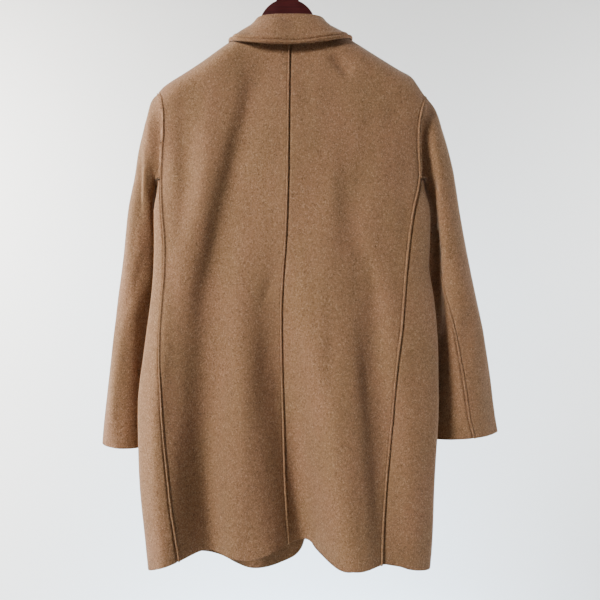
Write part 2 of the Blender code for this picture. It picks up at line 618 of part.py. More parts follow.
def collar_profile(along, side):
    """Outer points of the collar from the stand's seam over the roll to the free edge."""
    sign = 1 if side == "left" else -1
    seam = neckline_point(along, side)
    to_neck = Vector((NECK_X - seam.x, RIDGE_Y - seam.y, 0)).normalized()
    seam += to_neck * CLOTH + Vector((0, 0, STAND_LIFT))
    roll_x, roll_y, roll_z = [column(COLLAR, "along", f"roll_{axis}", along) for axis in "xyz"]
    roll = Vector((NECK_X + sign * roll_x, roll_y, roll_z))
    edge_x, edge_y, edge_z = [column(COLLAR, "along", f"edge_{axis}", along) for axis in "xyz"]
    edge = Vector((NECK_X + sign * edge_x, edge_y, edge_z))
    if side == "right":
        edge.z += COLLAR_TILT * edge_x
    outward = Vector((edge.x - roll.x, edge.y - roll.y, 0))
    if outward.length < 1e-6:
        outward = Vector((0, 1, 0))
    outward.normalize()
    inside = roll - outward * ROLL_RADIUS * 2 - Vector((0, 0, ROLL_RADIUS))
    # The stand's visible side faces the neck, so the walk starts there and turns outwards.
    stand = [seam + (inside - seam) * share for share in (0.0, 0.35, 0.7)]
    centre = roll - outward * ROLL_RADIUS - Vector((0, 0, ROLL_RADIUS))
    bend = [centre - outward * ROLL_RADIUS * math.cos(math.radians(angle))
            + Vector((0, 0, ROLL_RADIUS)) * math.sin(math.radians(angle))
            for angle in (0, 45, 90, 135)]
    start = centre + outward * ROLL_RADIUS
    over_shoulder = math.exp(-((along - 0.52) / 0.13) ** 2)
    fall = []
    for share in (0.0, 0.2, 0.4, 0.6, 0.8, 0.91, 0.95, 1.0):
        point = start + (edge - start) * share
        belly = math.sin(math.pi * share)
        fall.append(point + outward * FALL_BELLY * belly
                    + Vector((0, 0, FALL_ARCH[side] * belly * over_shoulder)))
    return stand + bend + fall


def collar(material):
    """Stand and fall in one folded wall, round the neck from front end to front end."""
    outer = []
    for step in range(-COLLAR_STEPS, COLLAR_STEPS + 1):
        side = "left" if step >= 0 else "right"
        outer.append(collar_profile(abs(step) / COLLAR_STEPS, side))
    rows, columns = len(outer), len(outer[0])
    inner = []
    for row in range(rows):
        line = []
        for place in range(columns):
            ahead = outer[row][min(place + 1, columns - 1)] - outer[row][max(place - 1, 0)]
            along = outer[min(row + 1, rows - 1)][place] - outer[max(row - 1, 0)][place]
            line.append(outer[row][place] + along.cross(ahead).normalized() * CLOTH)
        inner.append(line)
    edge = columns - 3
    raised = [[point.copy() for point in line] for line in outer]
    for row in range(rows):
        for place in (edge, edge + 1):
            raised[row][place] -= (inner[row][place] - outer[row][place]).normalized() * RISE * 0.7
    wall("collar", raised, inner, material)


def button(index, z, material):
    """Disc that lies on the left front, on the line of buttons beside its edge."""
    x = column(CENTRE_FRONT, "z", "x", z) + BUTTON_INSET
    turns = [math.tau * step / 12 for step in range(12)]
    low_y = min(face_point("front", x + BUTTON_RADIUS * math.cos(turn),
                           z + BUTTON_RADIUS * math.sin(turn)).y for turn in turns)
    low_y = min(low_y, face_point("front", x, z).y)
    model = bmesh.new()
    bmesh.ops.create_cone(model, cap_ends=True, segments=20, radius1=BUTTON_RADIUS,
                          radius2=BUTTON_RADIUS, depth=BUTTON_THICKNESS,
                          matrix=Matrix.Rotation(math.radians(90), 4, "X"))
    mesh = bpy.data.meshes.new(f"button_{index}")
    model.to_mesh(mesh)
    model.free()
    item = link(f"button_{index}", mesh, material)
    item.location = (x, low_y - SEAM_GAP - BUTTON_THICKNESS / 2, z)
    rim = item.modifiers.new("rim", "BEVEL")
    rim.width = 0.001
    rim.segments = 2
    rim.limit_method = "ANGLE"


def hanger_top(x):
    """Top line of the hanger: the crest, the dome beside it, then the arm under the shoulder."""
    reach = abs(x)
    if reach <= CREST_HALF:
        return CREST_TOP_Z
    arm = column(SHOULDER, "x", "z", x) - ARM_UNDER_RIDGE
    arm -= NECK_DIP * (1 - soft_step((reach - 0.070) / 0.030))
    if reach < DOME_RADIUS:
        return max(DOME_CENTRE_Z + math.sqrt(DOME_RADIUS ** 2 - reach ** 2), arm)
    return arm


def hanger_body(material):
    """Shaped wooden hanger, lofted through upright sections from end to end."""
    half = (0.0, 0.010, CREST_HALF, CREST_HALF + 0.0008, 0.027, 0.034, 0.040, 0.045, 0.048,
            0.0495, DOME_RADIUS, 0.065, 0.080, 0.100, 0.125, 0.150, 0.175, 0.195, 0.203, HANGER_END)
    stations = [-reach for reach in half[:0:-1]] + list(half)
    edge = 0.0025
    model = bmesh.new()
    rings = []
    for x in stations:
        share = abs(x) / HANGER_END
        depth = ARM_DEPTH_CENTRE + (ARM_DEPTH_END - ARM_DEPTH_CENTRE) * share
        top = hanger_top(x)
        arm = column(SHOULDER, "x", "z", x) - ARM_UNDER_RIDGE
        bottom = arm - depth
        thick = HANGER_HALF_THICKNESS
        end_round = soft_step((share - 0.93) / 0.07) * 0.006
        top, bottom, thick = top - end_round, bottom + end_round, thick - end_round / 2
        corners = ((thick, bottom + edge), (thick, top - edge), (thick - edge, top),
                   (edge - thick, top), (-thick, top - edge), (-thick, bottom + edge),
                   (edge - thick, bottom), (thick - edge, bottom))
        rings.append([model.verts.new((x, y, z)) for y, z in corners])
    count = len(rings[0])
    for ring, after in zip(rings, rings[1:]):
        for place in range(count):
            following = (place + 1) % count
            model.faces.new((ring[place], ring[following], after[following], after[place]))
    model.faces.new(rings[0])
    model.faces.new(rings[-1])
    bmesh.ops.recalc_face_normals(model, faces=model.faces)
    mesh = bpy.data.meshes.new("hanger_body")
    model.to_mesh(mesh)
    model.free()
    link("hanger_body", mesh, material)


def hook_path():
    """Middle of the wire: up the shank, out to one side, and round over the top."""
    centre_z = -(HOOK_RADIUS - WIRE)
    foot = CREST_TOP_Z + FERRULE_HEIGHT + 2 * SEAM_GAP
    points = [Vector((0, 0, foot)), Vector((0, 0, foot + 0.008)), Vector((0, 0, foot + 0.016)),
              Vector((0.0015, 0, foot + 0.023)), Vector((0.0055, 0, foot + 0.0300)),
              Vector((0.0105, 0, foot + 0.0370))]
    for degrees in range(-40, 206, 15):
        turn = math.radians(degrees)
        points.append(Vector((HOOK_RADIUS * math.cos(turn), 0,
                              centre_z + HOOK_RADIUS * math.sin(turn))))
    return points


def hanger_hook(material):
    curve = bpy.data.curves.new("hanger_hook", "CURVE")
    curve.dimensions = "3D"
    curve.bevel_depth = WIRE
    curve.bevel_resolution = 3
    curve.use_fill_caps = True
    points = hook_path()
    spline = curve.splines.new("POLY")
    spline.points.add(len(points) - 1)
    for control, point in zip(spline.points, points):
        control.co = (*point, 1.0)
    curve.materials.append(material)
    item = bpy.data.objects.new("hanger_hook", curve)
    bpy.context.scene.collection.objects.link(item)


def ferrule(material):
    """Short metal collar on the crest, where the wire goes into the wood."""
    model = bmesh.new()
    bmesh.ops.create_cone(model, cap_ends=True, segments=24, radius1=FERRULE_RADIUS,
                          radius2=FERRULE_RADIUS * 0.7, depth=FERRULE_HEIGHT)
    mesh = bpy.data.meshes.new("hanger_ferrule")
    model.to_mesh(mesh)
    model.free()
    item = link("hanger_ferrule", mesh, material)
    item.location = (0, 0, CREST_TOP_Z + SEAM_GAP + FERRULE_HEIGHT / 2)


def main():
    clear_scene()
    wool = make_material("wool", (0.30, 0.175, 0.095), 0.95)
    horn = make_material("horn", (0.10, 0.055, 0.030), 0.35)
    wood = make_material("lacquered_wood", (0.055, 0.012, 0.012), 0.30)
    steel = make_material("steel", (0.62, 0.62, 0.62), 0.25, metallic=1.0)
    for side in ("left", "right"):
        back = body_panel("back", side, wool)
        front = body_panel("front", side, wool)
        under = side_panel(side, wool)
        sleeve(side, armhole(side, back, front, under), wool)
    collar(wool)
    for index, height in enumerate(BUTTON_HEIGHTS, start=1):
        button(index, height, horn)
    hanger_body(wood)
    ferrule(steel)
    hanger_hook(steel)


main()
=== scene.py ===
"""Looks of a camel wool topcoat hanging on a wooden hanger, laid out as a Blender add-on.

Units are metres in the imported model's frame: +Z is up, the coat's back faces +Y and its left
sleeve is on +X. The origin is the inner top of the hook. The cloth pieces are fine shells on the
forms of the solids that they stand for, with the lapped seams, creases, stitches and nap that the
solids leave out.
"""

import math
from collections import namedtuple

import bmesh
import bpy
import numpy as np
from bpy.props import FloatProperty, FloatVectorProperty, PointerProperty
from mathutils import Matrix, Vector


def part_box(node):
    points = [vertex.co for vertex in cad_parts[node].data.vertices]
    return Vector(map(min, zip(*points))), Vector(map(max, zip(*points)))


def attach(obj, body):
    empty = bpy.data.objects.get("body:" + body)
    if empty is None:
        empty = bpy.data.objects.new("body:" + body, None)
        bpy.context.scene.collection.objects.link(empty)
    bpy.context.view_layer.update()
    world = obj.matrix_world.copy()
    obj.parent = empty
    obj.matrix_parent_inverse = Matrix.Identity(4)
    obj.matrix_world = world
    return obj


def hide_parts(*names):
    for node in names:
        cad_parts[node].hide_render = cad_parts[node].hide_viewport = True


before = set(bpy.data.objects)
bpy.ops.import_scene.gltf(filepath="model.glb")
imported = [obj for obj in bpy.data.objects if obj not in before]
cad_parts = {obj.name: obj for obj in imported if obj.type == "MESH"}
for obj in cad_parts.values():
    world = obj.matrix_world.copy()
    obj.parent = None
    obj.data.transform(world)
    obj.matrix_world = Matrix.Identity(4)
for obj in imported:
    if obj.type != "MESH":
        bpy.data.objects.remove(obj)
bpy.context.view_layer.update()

bl_info = {
    "name": "Hanging topcoat",
    "version": (1, 0, 0),
    "blender": (4, 5, 0),
    "location": "3D View > Sidebar > Topcoat",
    "description": "Cuts, sews and finishes a wool topcoat on its hanger",
    "category": "Add Mesh",
}

# ---------------------------------------------------------------- sizes of the pattern

SIDE_POWER = 2.8          # how square the body's sections are: 2 is an ellipse
SHOULDER_DROP = 0.050     # height over which the cloth turns down from the shoulder ridge
SHOULDER_TURN = 0.9 * SHOULDER_DROP    # part of it that the close rows over the shoulder cover
RIDGE_GAP = 0.00015       # from the shoulder seams' plane to the cloth on either side
RIDGE_Y = -0.004          # the shoulder seams lie in this plane
UNDERARM_Z = -0.4155
YOKE_MIDDLE_Z = -0.200
HEM_MIDDLE_Z = -1.060
NECK_X = -0.005
NECK_HALF = 0.082
NECK_BACK_Z = -0.170
NECK_FRONT_Z = -0.236
FRONT_EDGE_GAP = 0.0030
PANEL_TOP_Z = -0.16
PANEL_FOOT_Z = -1.10
HEM_FOLD = np.array((0.0022, 0.0006, 0.0))    # heights of the close rows at a hem, over its edge
LAP_EDGE_THICKNESS = 0.0011
LAP_EDGE = 0.0002         # columns nearer a lapped edge than this have that thickness
SIDE_TUCK_SHARE = 0.025   # part of a side panel's turn that its tucked edges take
ARMHOLE_GAP = 0.0008      # from the panels' armhole edge to the sleeve
UNDERARM_GAP = 0.0003     # from the side panel's top to the sleeve
TOP_PASSES = 24           # settles a leaning column's top on the shoulder ridge or neckline

# Rows and columns of the fine shells.
TURN_ROWS = 12
YOKE_ROWS = 34
BODY_ROWS = 120
FACE_COLUMNS = 48
SIDE_COLUMNS = 26
SLEEVE_COLUMNS = 56
SLEEVE_ROW = 0.0055       # about the distance between a sleeve's even rows
SLEEVE_FIRST_ROW = 0.008  # from the armhole to the first of them
SLEEVE_LAST_ROW = 0.004   # from the last of them to the cuff
CUFF_ROWS = np.array((0.0020, 0.0005, 0.0))    # from the close rows at the cuff to its edge
ARMHOLE_TURN_POINTS = 24
ARMHOLE_POINTS = 60
COLLAR_STEPS = 66
NO_EDGE = 0.05            # distance given to columns that no edge is near
LAP_FADE_ROWS = 12.0      # rows over which the armhole's lap fades in from the shoulder
EDGE_FADE_ROWS = 3.0      # the same for a panel's other edge
STITCH_ROWS = slice(14, -6)            # rows of a body panel that a lapped seam's stitches run along
EDGE_STITCH_ROWS = slice(10, -3)       # the same for a free edge's stitches
RIPPLE_SEEDS = {"back": 11, "front": 12, "side": 21, "left": 31, "right": 32, "collar": 41}


def table(kind, rows):
    return [kind(*row) for row in rows]


Section = namedtuple("Section", "z right left mid_y back front")
SECTIONS = table(Section, (
    (-0.140, -0.2640, 0.2520, -0.010, 0.050, 0.058),
    (-0.250, -0.2600, 0.2490, -0.010, 0.056, 0.062),
    (-0.340, -0.2510, 0.2390, -0.008, 0.058, 0.062),
    (-0.415, -0.2410, 0.2285, -0.002, 0.055, 0.062),
    (-0.466, -0.2495, 0.2341, 0.004, 0.052, 0.066),
    (-0.520, -0.2491, 0.2331, 0.008, 0.051, 0.070),
    (-0.572, -0.2470, 0.2333, 0.011, 0.050, 0.073),
    (-0.624, -0.2541, 0.2364, 0.015, 0.050, 0.075),
    (-0.700, -0.2600, 0.2460, 0.019, 0.052, 0.080),
    (-0.780, -0.2599, 0.2552, 0.022, 0.055, 0.085),
    (-0.831, -0.2581, 0.2553, 0.025, 0.056, 0.088),
    (-0.933, -0.2519, 0.2521, 0.030, 0.056, 0.093),
    (-1.034, -0.2462, 0.2401, 0.036, 0.055, 0.098),
    (-1.110, -0.2380, 0.2310, 0.040, 0.052, 0.100),
))

Ridge = namedtuple("Ridge", "x z")
SHOULDER = table(Ridge, (
    (-0.2454, -0.2737), (-0.2393, -0.2613), (-0.2283, -0.2455), (-0.2171, -0.2308),
    (-0.1966, -0.2198), (-0.1596, -0.1977), (-0.1178, -0.1719), (-0.0750, -0.1459),
    (-0.0400, -0.1246), (NECK_X, -0.1031), (0.0300, -0.1259), (0.0650, -0.1486),
    (0.1036, -0.1736), (0.1458, -0.2033), (0.1814, -0.2256), (0.2159, -0.2467),
    (0.2290, -0.2599),
))

SeamRow = namedtuple("SeamRow", "z x")
# Armhole edge, then the side seam below the underarm, for the back and front panels.
PANEL_EDGE = {
    ("back", "left"): table(SeamRow, (
        (-0.2560, 0.2270), (-0.2750, 0.2180), (-0.2970, 0.2134), (-0.3170, 0.2130),
        (-0.3392, 0.2136), (-0.3715, 0.2164), (-0.4155, 0.2183), (-0.4710, 0.2145),
        (-0.5225, 0.2090), (-0.5735, 0.2085), (-0.6240, 0.2112), (-0.6740, 0.2135),
        (-0.7235, 0.2127), (-0.7725, 0.2094), (-0.8212, 0.2060), (-0.8695, 0.2012),
        (-0.9174, 0.1957), (-0.9649, 0.1902), (-1.0120, 0.1829), (-1.0600, 0.1760),
    )),
    ("back", "right"): table(SeamRow, (
        (-0.2600, -0.2400), (-0.2725, -0.2390), (-0.2873, -0.2350), (-0.3093, -0.2293),
        (-0.3392, -0.2268), (-0.3659, -0.2272), (-0.4155, -0.2285), (-0.4710, -0.2157),
        (-0.5225, -0.2076), (-0.5735, -0.2017), (-0.6240, -0.1967), (-0.6740, -0.1918),
        (-0.7235, -0.1849), (-0.7725, -0.1802), (-0.8212, -0.1763), (-0.8695, -0.1715),
        (-0.9174, -0.1667), (-0.9649, -0.1623), (-1.0120, -0.1586), (-1.0600, -0.1560),
    )),
    ("front", "left"): table(SeamRow, (
        (-0.2560, 0.2270), (-0.2750, 0.2150), (-0.3050, 0.2060), (-0.3400, 0.2050),
        (-0.3750, 0.2110), (-0.4155, 0.2180), (-0.4700, 0.2080), (-0.5700, 0.1950),
        (-0.7000, 0.1940), (-0.8500, 0.1920), (-1.0900, 0.1820),
    )),
    ("front", "right"): table(SeamRow, (
        (-0.2600, -0.2400), (-0.2750, -0.2280), (-0.3050, -0.2180), (-0.3400, -0.2160),
        (-0.3750, -0.2220), (-0.4155, -0.2290), (-0.4700, -0.2180), (-0.5700, -0.2040),
        (-0.7000, -0.2010), (-0.8500, -0.1970), (-1.0900, -0.1850),
    )),
}
PANEL_CENTRE = {
    "back": table(SeamRow, (
        (-0.1700, -0.0047), (-0.3000, -0.0030), (-0.4210, -0.0017), (-0.5227, 0.0017),
        (-0.6240, 0.0084), (-0.7250, 0.0085), (-0.8270, 0.0059), (-0.9315, 0.0036),
        (-1.0380, -0.0030),
    )),
    "front": table(SeamRow, (
        (-0.2300, -0.0050), (-0.6000, -0.0120), (-1.1000, -0.0355),
    )),
}

Hem = namedtuple("Hem", "x back front")
HEM = table(Hem, (
    (-0.2450, -1.0740, -1.0760), (-0.2000, -1.0660, -1.0900), (-0.1650, -1.0575, -1.1050),
    (-0.1200, -1.0610, -1.1130), (-0.0900, -1.0600, -1.1100), (-0.0630, -1.0530, -1.0940),
    (-0.0470, -1.0440, -1.0800), (-0.0355, -1.0375, -1.0600), (-0.0240, -1.0370, -1.0840),
    (-0.0090, -1.0375, -1.0980), (0.0200, -1.0433, -1.1040), (0.0530, -1.0528, -1.1035),
    (0.1000, -1.0558, -1.1050), (0.1310, -1.0500, -1.0980), (0.1600, -1.0510, -1.0900),
    (0.1970, -1.0594, -1.0830), (0.2340, -1.0760, -1.0780),
))

# One row for each large fold. Rises are outwards from the body, so a trough's are negative.
FOLD_LEVELS = (-0.29, -0.455, -0.625, -0.83, -1.05)
Fold = namedtuple("Fold", "face width nape_x blade_x waist_x hip_x hem_x nape blade waist hip hem")
FOLDS = table(Fold, (
    ("back", 0.030, 0.062, 0.083, 0.123, 0.134, 0.131, -0.003, -0.011, -0.021, -0.038, -0.052),
    ("back", 0.032, 0.099, 0.145, 0.184, 0.216, 0.198, 0.003, 0.006, 0.008, 0.010, 0.012),
    ("back", 0.034, 0.070, 0.062, 0.060, 0.045, 0.052, 0.000, 0.000, 0.002, -0.010, -0.018),
    ("back", 0.031, 0.030, 0.027, 0.025, -0.006, -0.031, 0.000, -0.003, -0.018, -0.042, -0.070),
    ("back", 0.036, -0.060, -0.070, -0.078, -0.085, -0.105, 0.000, 0.003, 0.007, 0.010, 0.012),
    ("back", 0.021, -0.110, -0.120, -0.140, -0.163, -0.165, 0.000, -0.003, -0.007, -0.012, -0.011),
    ("front", 0.032, 0.050, 0.055, 0.060, 0.060, 0.055, 0.000, -0.004, -0.014, -0.030, -0.045),
    ("front", 0.032, -0.070, -0.080, -0.095, -0.105, -0.110, 0.000, -0.003, -0.011, -0.026, -0.040),
    ("front", 0.036, 0.120, 0.130, 0.138, 0.140, 0.138, 0.000, 0.004, 0.008, 0.011, 0.013),
    ("front", 0.036, -0.135, -0.150, -0.165, -0.175, -0.180, 0.000, 0.003, 0.008, 0.012, 0.014),
))

# Finer creases, each a soft trough or ridge from one place on a face to another.
Crease = namedtuple("Crease", "face x z to_x to_z bow width rise")
CREASES = table(Crease, (
    ("back", 0.176, -0.290, 0.178, -0.530, 0.004, 0.013, -0.0066),
    ("back", 0.042, -0.215, 0.148, -0.660, -0.006, 0.015, -0.0098),
    ("back", -0.070, -0.212, -0.109, -0.246, 0.002, 0.0062, -0.0078),
    ("back", -0.175, -0.285, -0.199, -0.330, -0.004, 0.014, -0.0030),
    ("back", 0.150, -0.235, 0.186, -0.300, 0.006, 0.013, -0.0022),
    ("back", -0.092, -0.400, -0.100, -0.575, 0.005, 0.012, -0.0026),
    ("back", -0.078, -0.620, -0.084, -0.810, -0.004, 0.013, -0.0030),
    ("back", -0.118, -0.470, -0.172, -0.650, 0.006, 0.011, 0.0030),
    ("back", -0.170, -0.600, -0.176, -0.790, 0.000, 0.011, 0.0030),
    ("back", 0.090, -0.580, 0.080, -0.830, 0.004, 0.015, 0.0038),
    ("back", -0.014, -0.540, -0.062, -1.050, 0.006, 0.014, 0.0034),
    ("back", -0.124, -0.640, -0.148, -1.050, 0.004, 0.013, -0.0068),
    ("back", 0.016, -0.572, 0.044, -0.640, -0.003, 0.0060, -0.0022),
    ("back", -0.205, -0.450, -0.186, -0.560, 0.004, 0.010, -0.0020),
    ("back", 0.196, -0.430, 0.170, -0.560, -0.004, 0.012, -0.0024),
    ("back", 0.188, -0.500, 0.194, -0.860, 0.000, 0.012, -0.0052),
    ("back", 0.105, -0.860, 0.098, -1.060, 0.003, 0.012, 0.0028),
    ("back", -0.196, -0.830, -0.212, -1.060, 0.003, 0.014, 0.0030),
    ("back", 0.064, -0.180, 0.058, -0.330, 0.002, 0.016, -0.0016),
    ("front", 0.085, -0.235, 0.120, -0.330, -0.006, 0.012, -0.0030),
    ("front", -0.095, -0.230, -0.128, -0.345, 0.006, 0.013, -0.0034),
    ("front", 0.178, -0.300, 0.150, -0.480, 0.005, 0.013, -0.0030),
    ("front", -0.186, -0.310, -0.160, -0.470, -0.006, 0.012, -0.0032),
    ("front", 0.030, -0.470, 0.050, -0.700, 0.004, 0.014, 0.0026),
    ("front", -0.045, -0.500, -0.070, -0.780, -0.004, 0.015, -0.0028),
    ("front", 0.150, -0.560, 0.165, -0.820, 0.003, 0.014, 0.0030),
    ("front", -0.140, -0.600, -0.135, -0.900, 0.004, 0.013, 0.0028),
    ("front", 0.095, -0.760, 0.092, -1.080, -0.003, 0.014, 0.0034),
    ("front", -0.060, -0.850, -0.064, -1.080, 0.003, 0.012, 0.0030),
))

# A sleeve ring runs through an outer point, away from the body, and an inner one, beside it.
SleeveRing = namedtuple("SleeveRing", "outer_x outer_z inner_x inner_z mid_y half_depth")
SLEEVES = {
    "left": table(SleeveRing, (
        (0.2431, -0.2667, 0.2316, -0.4300, -0.0190, 0.0400),
        (0.2512, -0.2892, 0.2362, -0.4480, -0.0260, 0.0440),
        (0.2592, -0.3157, 0.2390, -0.4690, -0.0310, 0.0480),
        (0.2680, -0.3510, 0.2380, -0.4930, -0.0350, 0.0510),
        (0.2751, -0.3930, 0.2370, -0.5220, -0.0390, 0.0540),
        (0.2870, -0.4500, 0.2365, -0.5600, -0.0430, 0.0580),
        (0.2970, -0.5300, 0.2375, -0.6100, -0.0460, 0.0600),
        (0.3090, -0.6240, 0.2430, -0.6750, -0.0480, 0.0610),
        (0.3191, -0.6973, 0.2480, -0.7300, -0.0490, 0.0600),
        (0.3274, -0.7707, 0.2510, -0.7880, -0.0490, 0.0590),
        (0.3356, -0.8440, 0.2510, -0.8500, -0.0480, 0.0570),
        (0.3384, -0.8825, 0.2500, -0.8870, -0.0470, 0.0560),
    )),
    "right": table(SleeveRing, (
        (-0.2600, -0.2750, -0.2440, -0.4300, -0.0190, 0.0400),
        (-0.2690, -0.2910, -0.2478, -0.4480, -0.0250, 0.0430),
        (-0.2770, -0.3150, -0.2510, -0.4690, -0.0290, 0.0460),
        (-0.2880, -0.3490, -0.2500, -0.4930, -0.0320, 0.0490),
        (-0.2985, -0.3880, -0.2490, -0.5220, -0.0350, 0.0510),
        (-0.3110, -0.4560, -0.2500, -0.5600, -0.0370, 0.0530),
        (-0.3262, -0.5323, -0.2510, -0.6100, -0.0380, 0.0540),
        (-0.3420, -0.6110, -0.2550, -0.6700, -0.0370, 0.0540),
        (-0.3546, -0.6790, -0.2560, -0.7250, -0.0350, 0.0520),
        (-0.3657, -0.7523, -0.2550, -0.7800, -0.0330, 0.0490),
        (-0.3739, -0.8257, -0.2540, -0.8380, -0.0310, 0.0460),
        (-0.3794, -0.8605, -0.2530, -0.8720, -0.0300, 0.0440),
    )),
}
# Places of a sleeve's seams, in degrees round it, by the share of its length from the armhole.
SeamPlace = namedtuple("SeamPlace", "share back front")
SLEEVE_SEAMS = {
    "left": table(SeamPlace, (
        (0.00, 118.0, 245.0), (0.16, 146.0, 258.0), (0.50, 156.0, 270.0), (1.00, 156.0, 270.0))),
    "right": table(SeamPlace, (
        (0.00, 118.0, 245.0), (0.14, 142.0, 262.0), (0.34, 146.0, 262.0), (0.54, 128.0, 246.0),
        (0.70, 105.0, 228.0), (1.00, 81.0, 206.0))),
}
SLEEVE_SEAM_SHOWS = 0.11    # nearer the armhole than this, the back seam lies flat
SLEEVE_STITCHES_START = 0.14
FLAT_SEAM = 0.15            # height of the seam where it lies flat, as a share of the rest
SLEEVE_SETTLE = 0.005       # creases fade in over this length from the armhole
CLOTH_PER_DEGREE = 0.046 * math.pi / 180    # length on a sleeve's cloth for a degree round it

# Creases of the sleeves: degrees round the sleeve, 90 at its back, and metres down from the top.
SleeveCrease = namedtuple("SleeveCrease", "side degrees down to_degrees to_down bow width rise")
SLEEVE_CREASES = table(SleeveCrease, (
    ("left", 10, 0.010, 170, 0.012, 0.000, 0.010, -0.0050),
    ("left", 140, 0.030, 142, 0.340, 0.000, 0.014, 0.0075),
    ("left", 40, 0.060, 118, 0.200, 0.004, 0.014, -0.0034),
    ("left", 60, 0.080, 84, 0.330, 0.006, 0.012, -0.0030),
    ("left", 140, 0.170, 96, 0.300, -0.005, 0.009, -0.0034),
    ("left", 120, 0.260, 70, 0.370, 0.004, 0.009, 0.0026),
    ("left", 44, 0.300, 60, 0.560, 0.004, 0.012, 0.0028),
    ("left", 104, 0.380, 96, 0.600, -0.004, 0.012, -0.0028),
    ("left", 250, 0.200, 300, 0.330, 0.005, 0.011, -0.0030),
    ("left", 285, 0.330, 270, 0.560, 0.004, 0.013, 0.0028),
    ("right", 5, 0.014, 178, 0.016, 0.000, 0.015, -0.0080),
    ("right", 100, 0.004, 150, 0.120, 0.003, 0.016, -0.0070),
    ("right", 136, 0.030, 140, 0.360, 0.000, 0.012, -0.0170),
    ("right", 36, 0.140, 20, 0.380, -0.005, 0.012, -0.0030),
    ("right", 84, 0.240, 44, 0.360, 0.004, 0.009, 0.0028),
    ("right", 66, 0.330, 90, 0.430, 0.003, 0.009, -0.0030),
    ("right", 30, 0.400, 34, 0.600, 0.004, 0.012, -0.0026),
    ("right", 240, 0.180, 290, 0.320, 0.005, 0.011, -0.0032),
    ("right", 270, 0.350, 262, 0.560, -0.004, 0.013, 0.0026),
))

# The collar from the centre back to a front end: its roll line and its free edge.
CollarRow = namedtuple("CollarRow", "along roll_x roll_y roll_z edge_x edge_y edge_z")
COLLAR = table(CollarRow, (
    (0.00, 0.0000, 0.0460, -0.1388, 0.000, 0.0620, -0.1975),
    (0.14, 0.0290, 0.0450, -0.1388, 0.038, 0.0615, -0.1962),
    (0.27, 0.0530, 0.0370, -0.1390, 0.069, 0.0580, -0.1915),
    (0.38, 0.0635, 0.0200, -0.1410, 0.094, 0.0450, -0.1835),
    (0.46, 0.0660, 0.0040, -0.1445, 0.106, 0.0250, -0.1760),
    (0.54, 0.0655, -0.0160, -0.1495, 0.110, -0.0060, -0.1700),
    (0.60, 0.0635, -0.0360, -0.1560, 0.110, -0.0350, -0.1760),
    (0.68, 0.0585, -0.0570, -0.1670, 0.106, -0.0600, -0.1930),
    (0.78, 0.0485, -0.0710, -0.1820, 0.096, -0.0730, -0.2190),
    (0.89, 0.0280, -0.0780, -0.2010, 0.075, -0.0760, -0.2445),
    (1.00, 0.0060, -0.0810, -0.2230, 0.040, -0.0780, -0.2680),
))
COLLAR_TILT = 0.045       # rise of the right half's free edge for each metre from the middle
ROLL_RADIUS = 0.0032
FALL_BELLY = 0.003
FALL_ARCH = {"left": 0.0020, "right": 0.0042}
FALL_KICK = 0.0012        # how far the free edge stands off the back
OVER_SHOULDER = 0.52      # place along the collar where it crosses the shoulder
STAND_LIFT = 0.0018
STAND_INSET = 0.0025
COLLAR_LIFT = 2.3         # height of the collar's stitched border, as a share of other edges'
COLLAR_PADDING = 0.0016    # rise of the fall just inside its stitched border

# Height of the cloth beside an edge, over the plain surface, by distance from the edge.
EdgeForm = namedtuple("EdgeForm", "distance rise")
LAPPED = table(EdgeForm, (      # a seam's upper layer, turned under and stitched down
    (-0.0010, 0.0002), (-0.0007, 0.0011), (-0.0002, 0.0017), (0.0004, 0.0020), (0.0010, 0.0020),
    (0.0017, 0.0015), (0.0024, 0.0004), (0.0029, -0.0005), (0.0033, -0.0006), (0.0039, -0.0003),
    (0.0048, 0.0000), (0.0060, 0.0000),
))
TUCKED = table(EdgeForm, (      # a seam's lower layer, drawn in under the lap
    (0.0000, -0.0017), (0.0008, -0.0020), (0.0016, -0.0019), (0.0026, -0.0012), (0.0038, -0.0004),
    (0.0055, 0.0000),
))
TURNED = table(EdgeForm, (      # a free edge with a row of stitches inside it
    (0.0000, -0.0003), (0.0005, 0.0003), (0.0012, 0.0008), (0.0028, 0.0011), (0.0045, 0.0008),
    (0.0056, -0.0001), (0.0062, -0.0009), (0.0068, -0.0009), (0.0078, -0.0003), (0.0095, 0.0000),
))
LAP_STITCH = 0.0031       # from a lapped edge to its stitches
TURNED_STITCH = 0.0063    # from a free edge to its stitches

# The cut of each cloth piece, laid flat.
Cut = namedtuple("Cut", "name width length area")
CUTS = {cut.name: cut for cut in table(Cut, (
    ("back_left", 0.262, 0.915, 0.200), ("back_right", 0.268, 0.920, 0.196),
    ("front_left", 0.290, 0.965, 0.212), ("front_right", 0.270, 0.970, 0.188),
    ("side_left", 0.175, 0.680, 0.100), ("side_right", 0.215, 0.690, 0.121),
    ("upper_sleeve_left", 0.245, 0.660, 0.119), ("under_sleeve_left", 0.122, 0.530, 0.053),
    ("upper_sleeve_right", 0.240, 0.650, 0.119), ("under_sleeve_right", 0.127, 0.520, 0.053),
    ("collar", 0.097, 0.600, 0.050),
))}


# ---------------------------------------------------------------- settings a user would change

def colour_setting(name, description, default):
    return FloatVectorProperty(name=name, description=description, default=default,
                               subtype="COLOR", min=0.0, max=1.0)


def length_setting(name, description, default, low, high):
    return FloatProperty(name=name, description=description, default=default, min=low, max=high,
                         unit="LENGTH")


def share_setting(name, description):
    return FloatProperty(name=name, description=f"{description}, as a share of the usual one",
                         default=1.0, min=0.0, max=2.0, subtype="FACTOR")


def power_setting(name, description, default):
    return FloatProperty(name=name, description=description, default=default, min=0.0, unit="POWER")


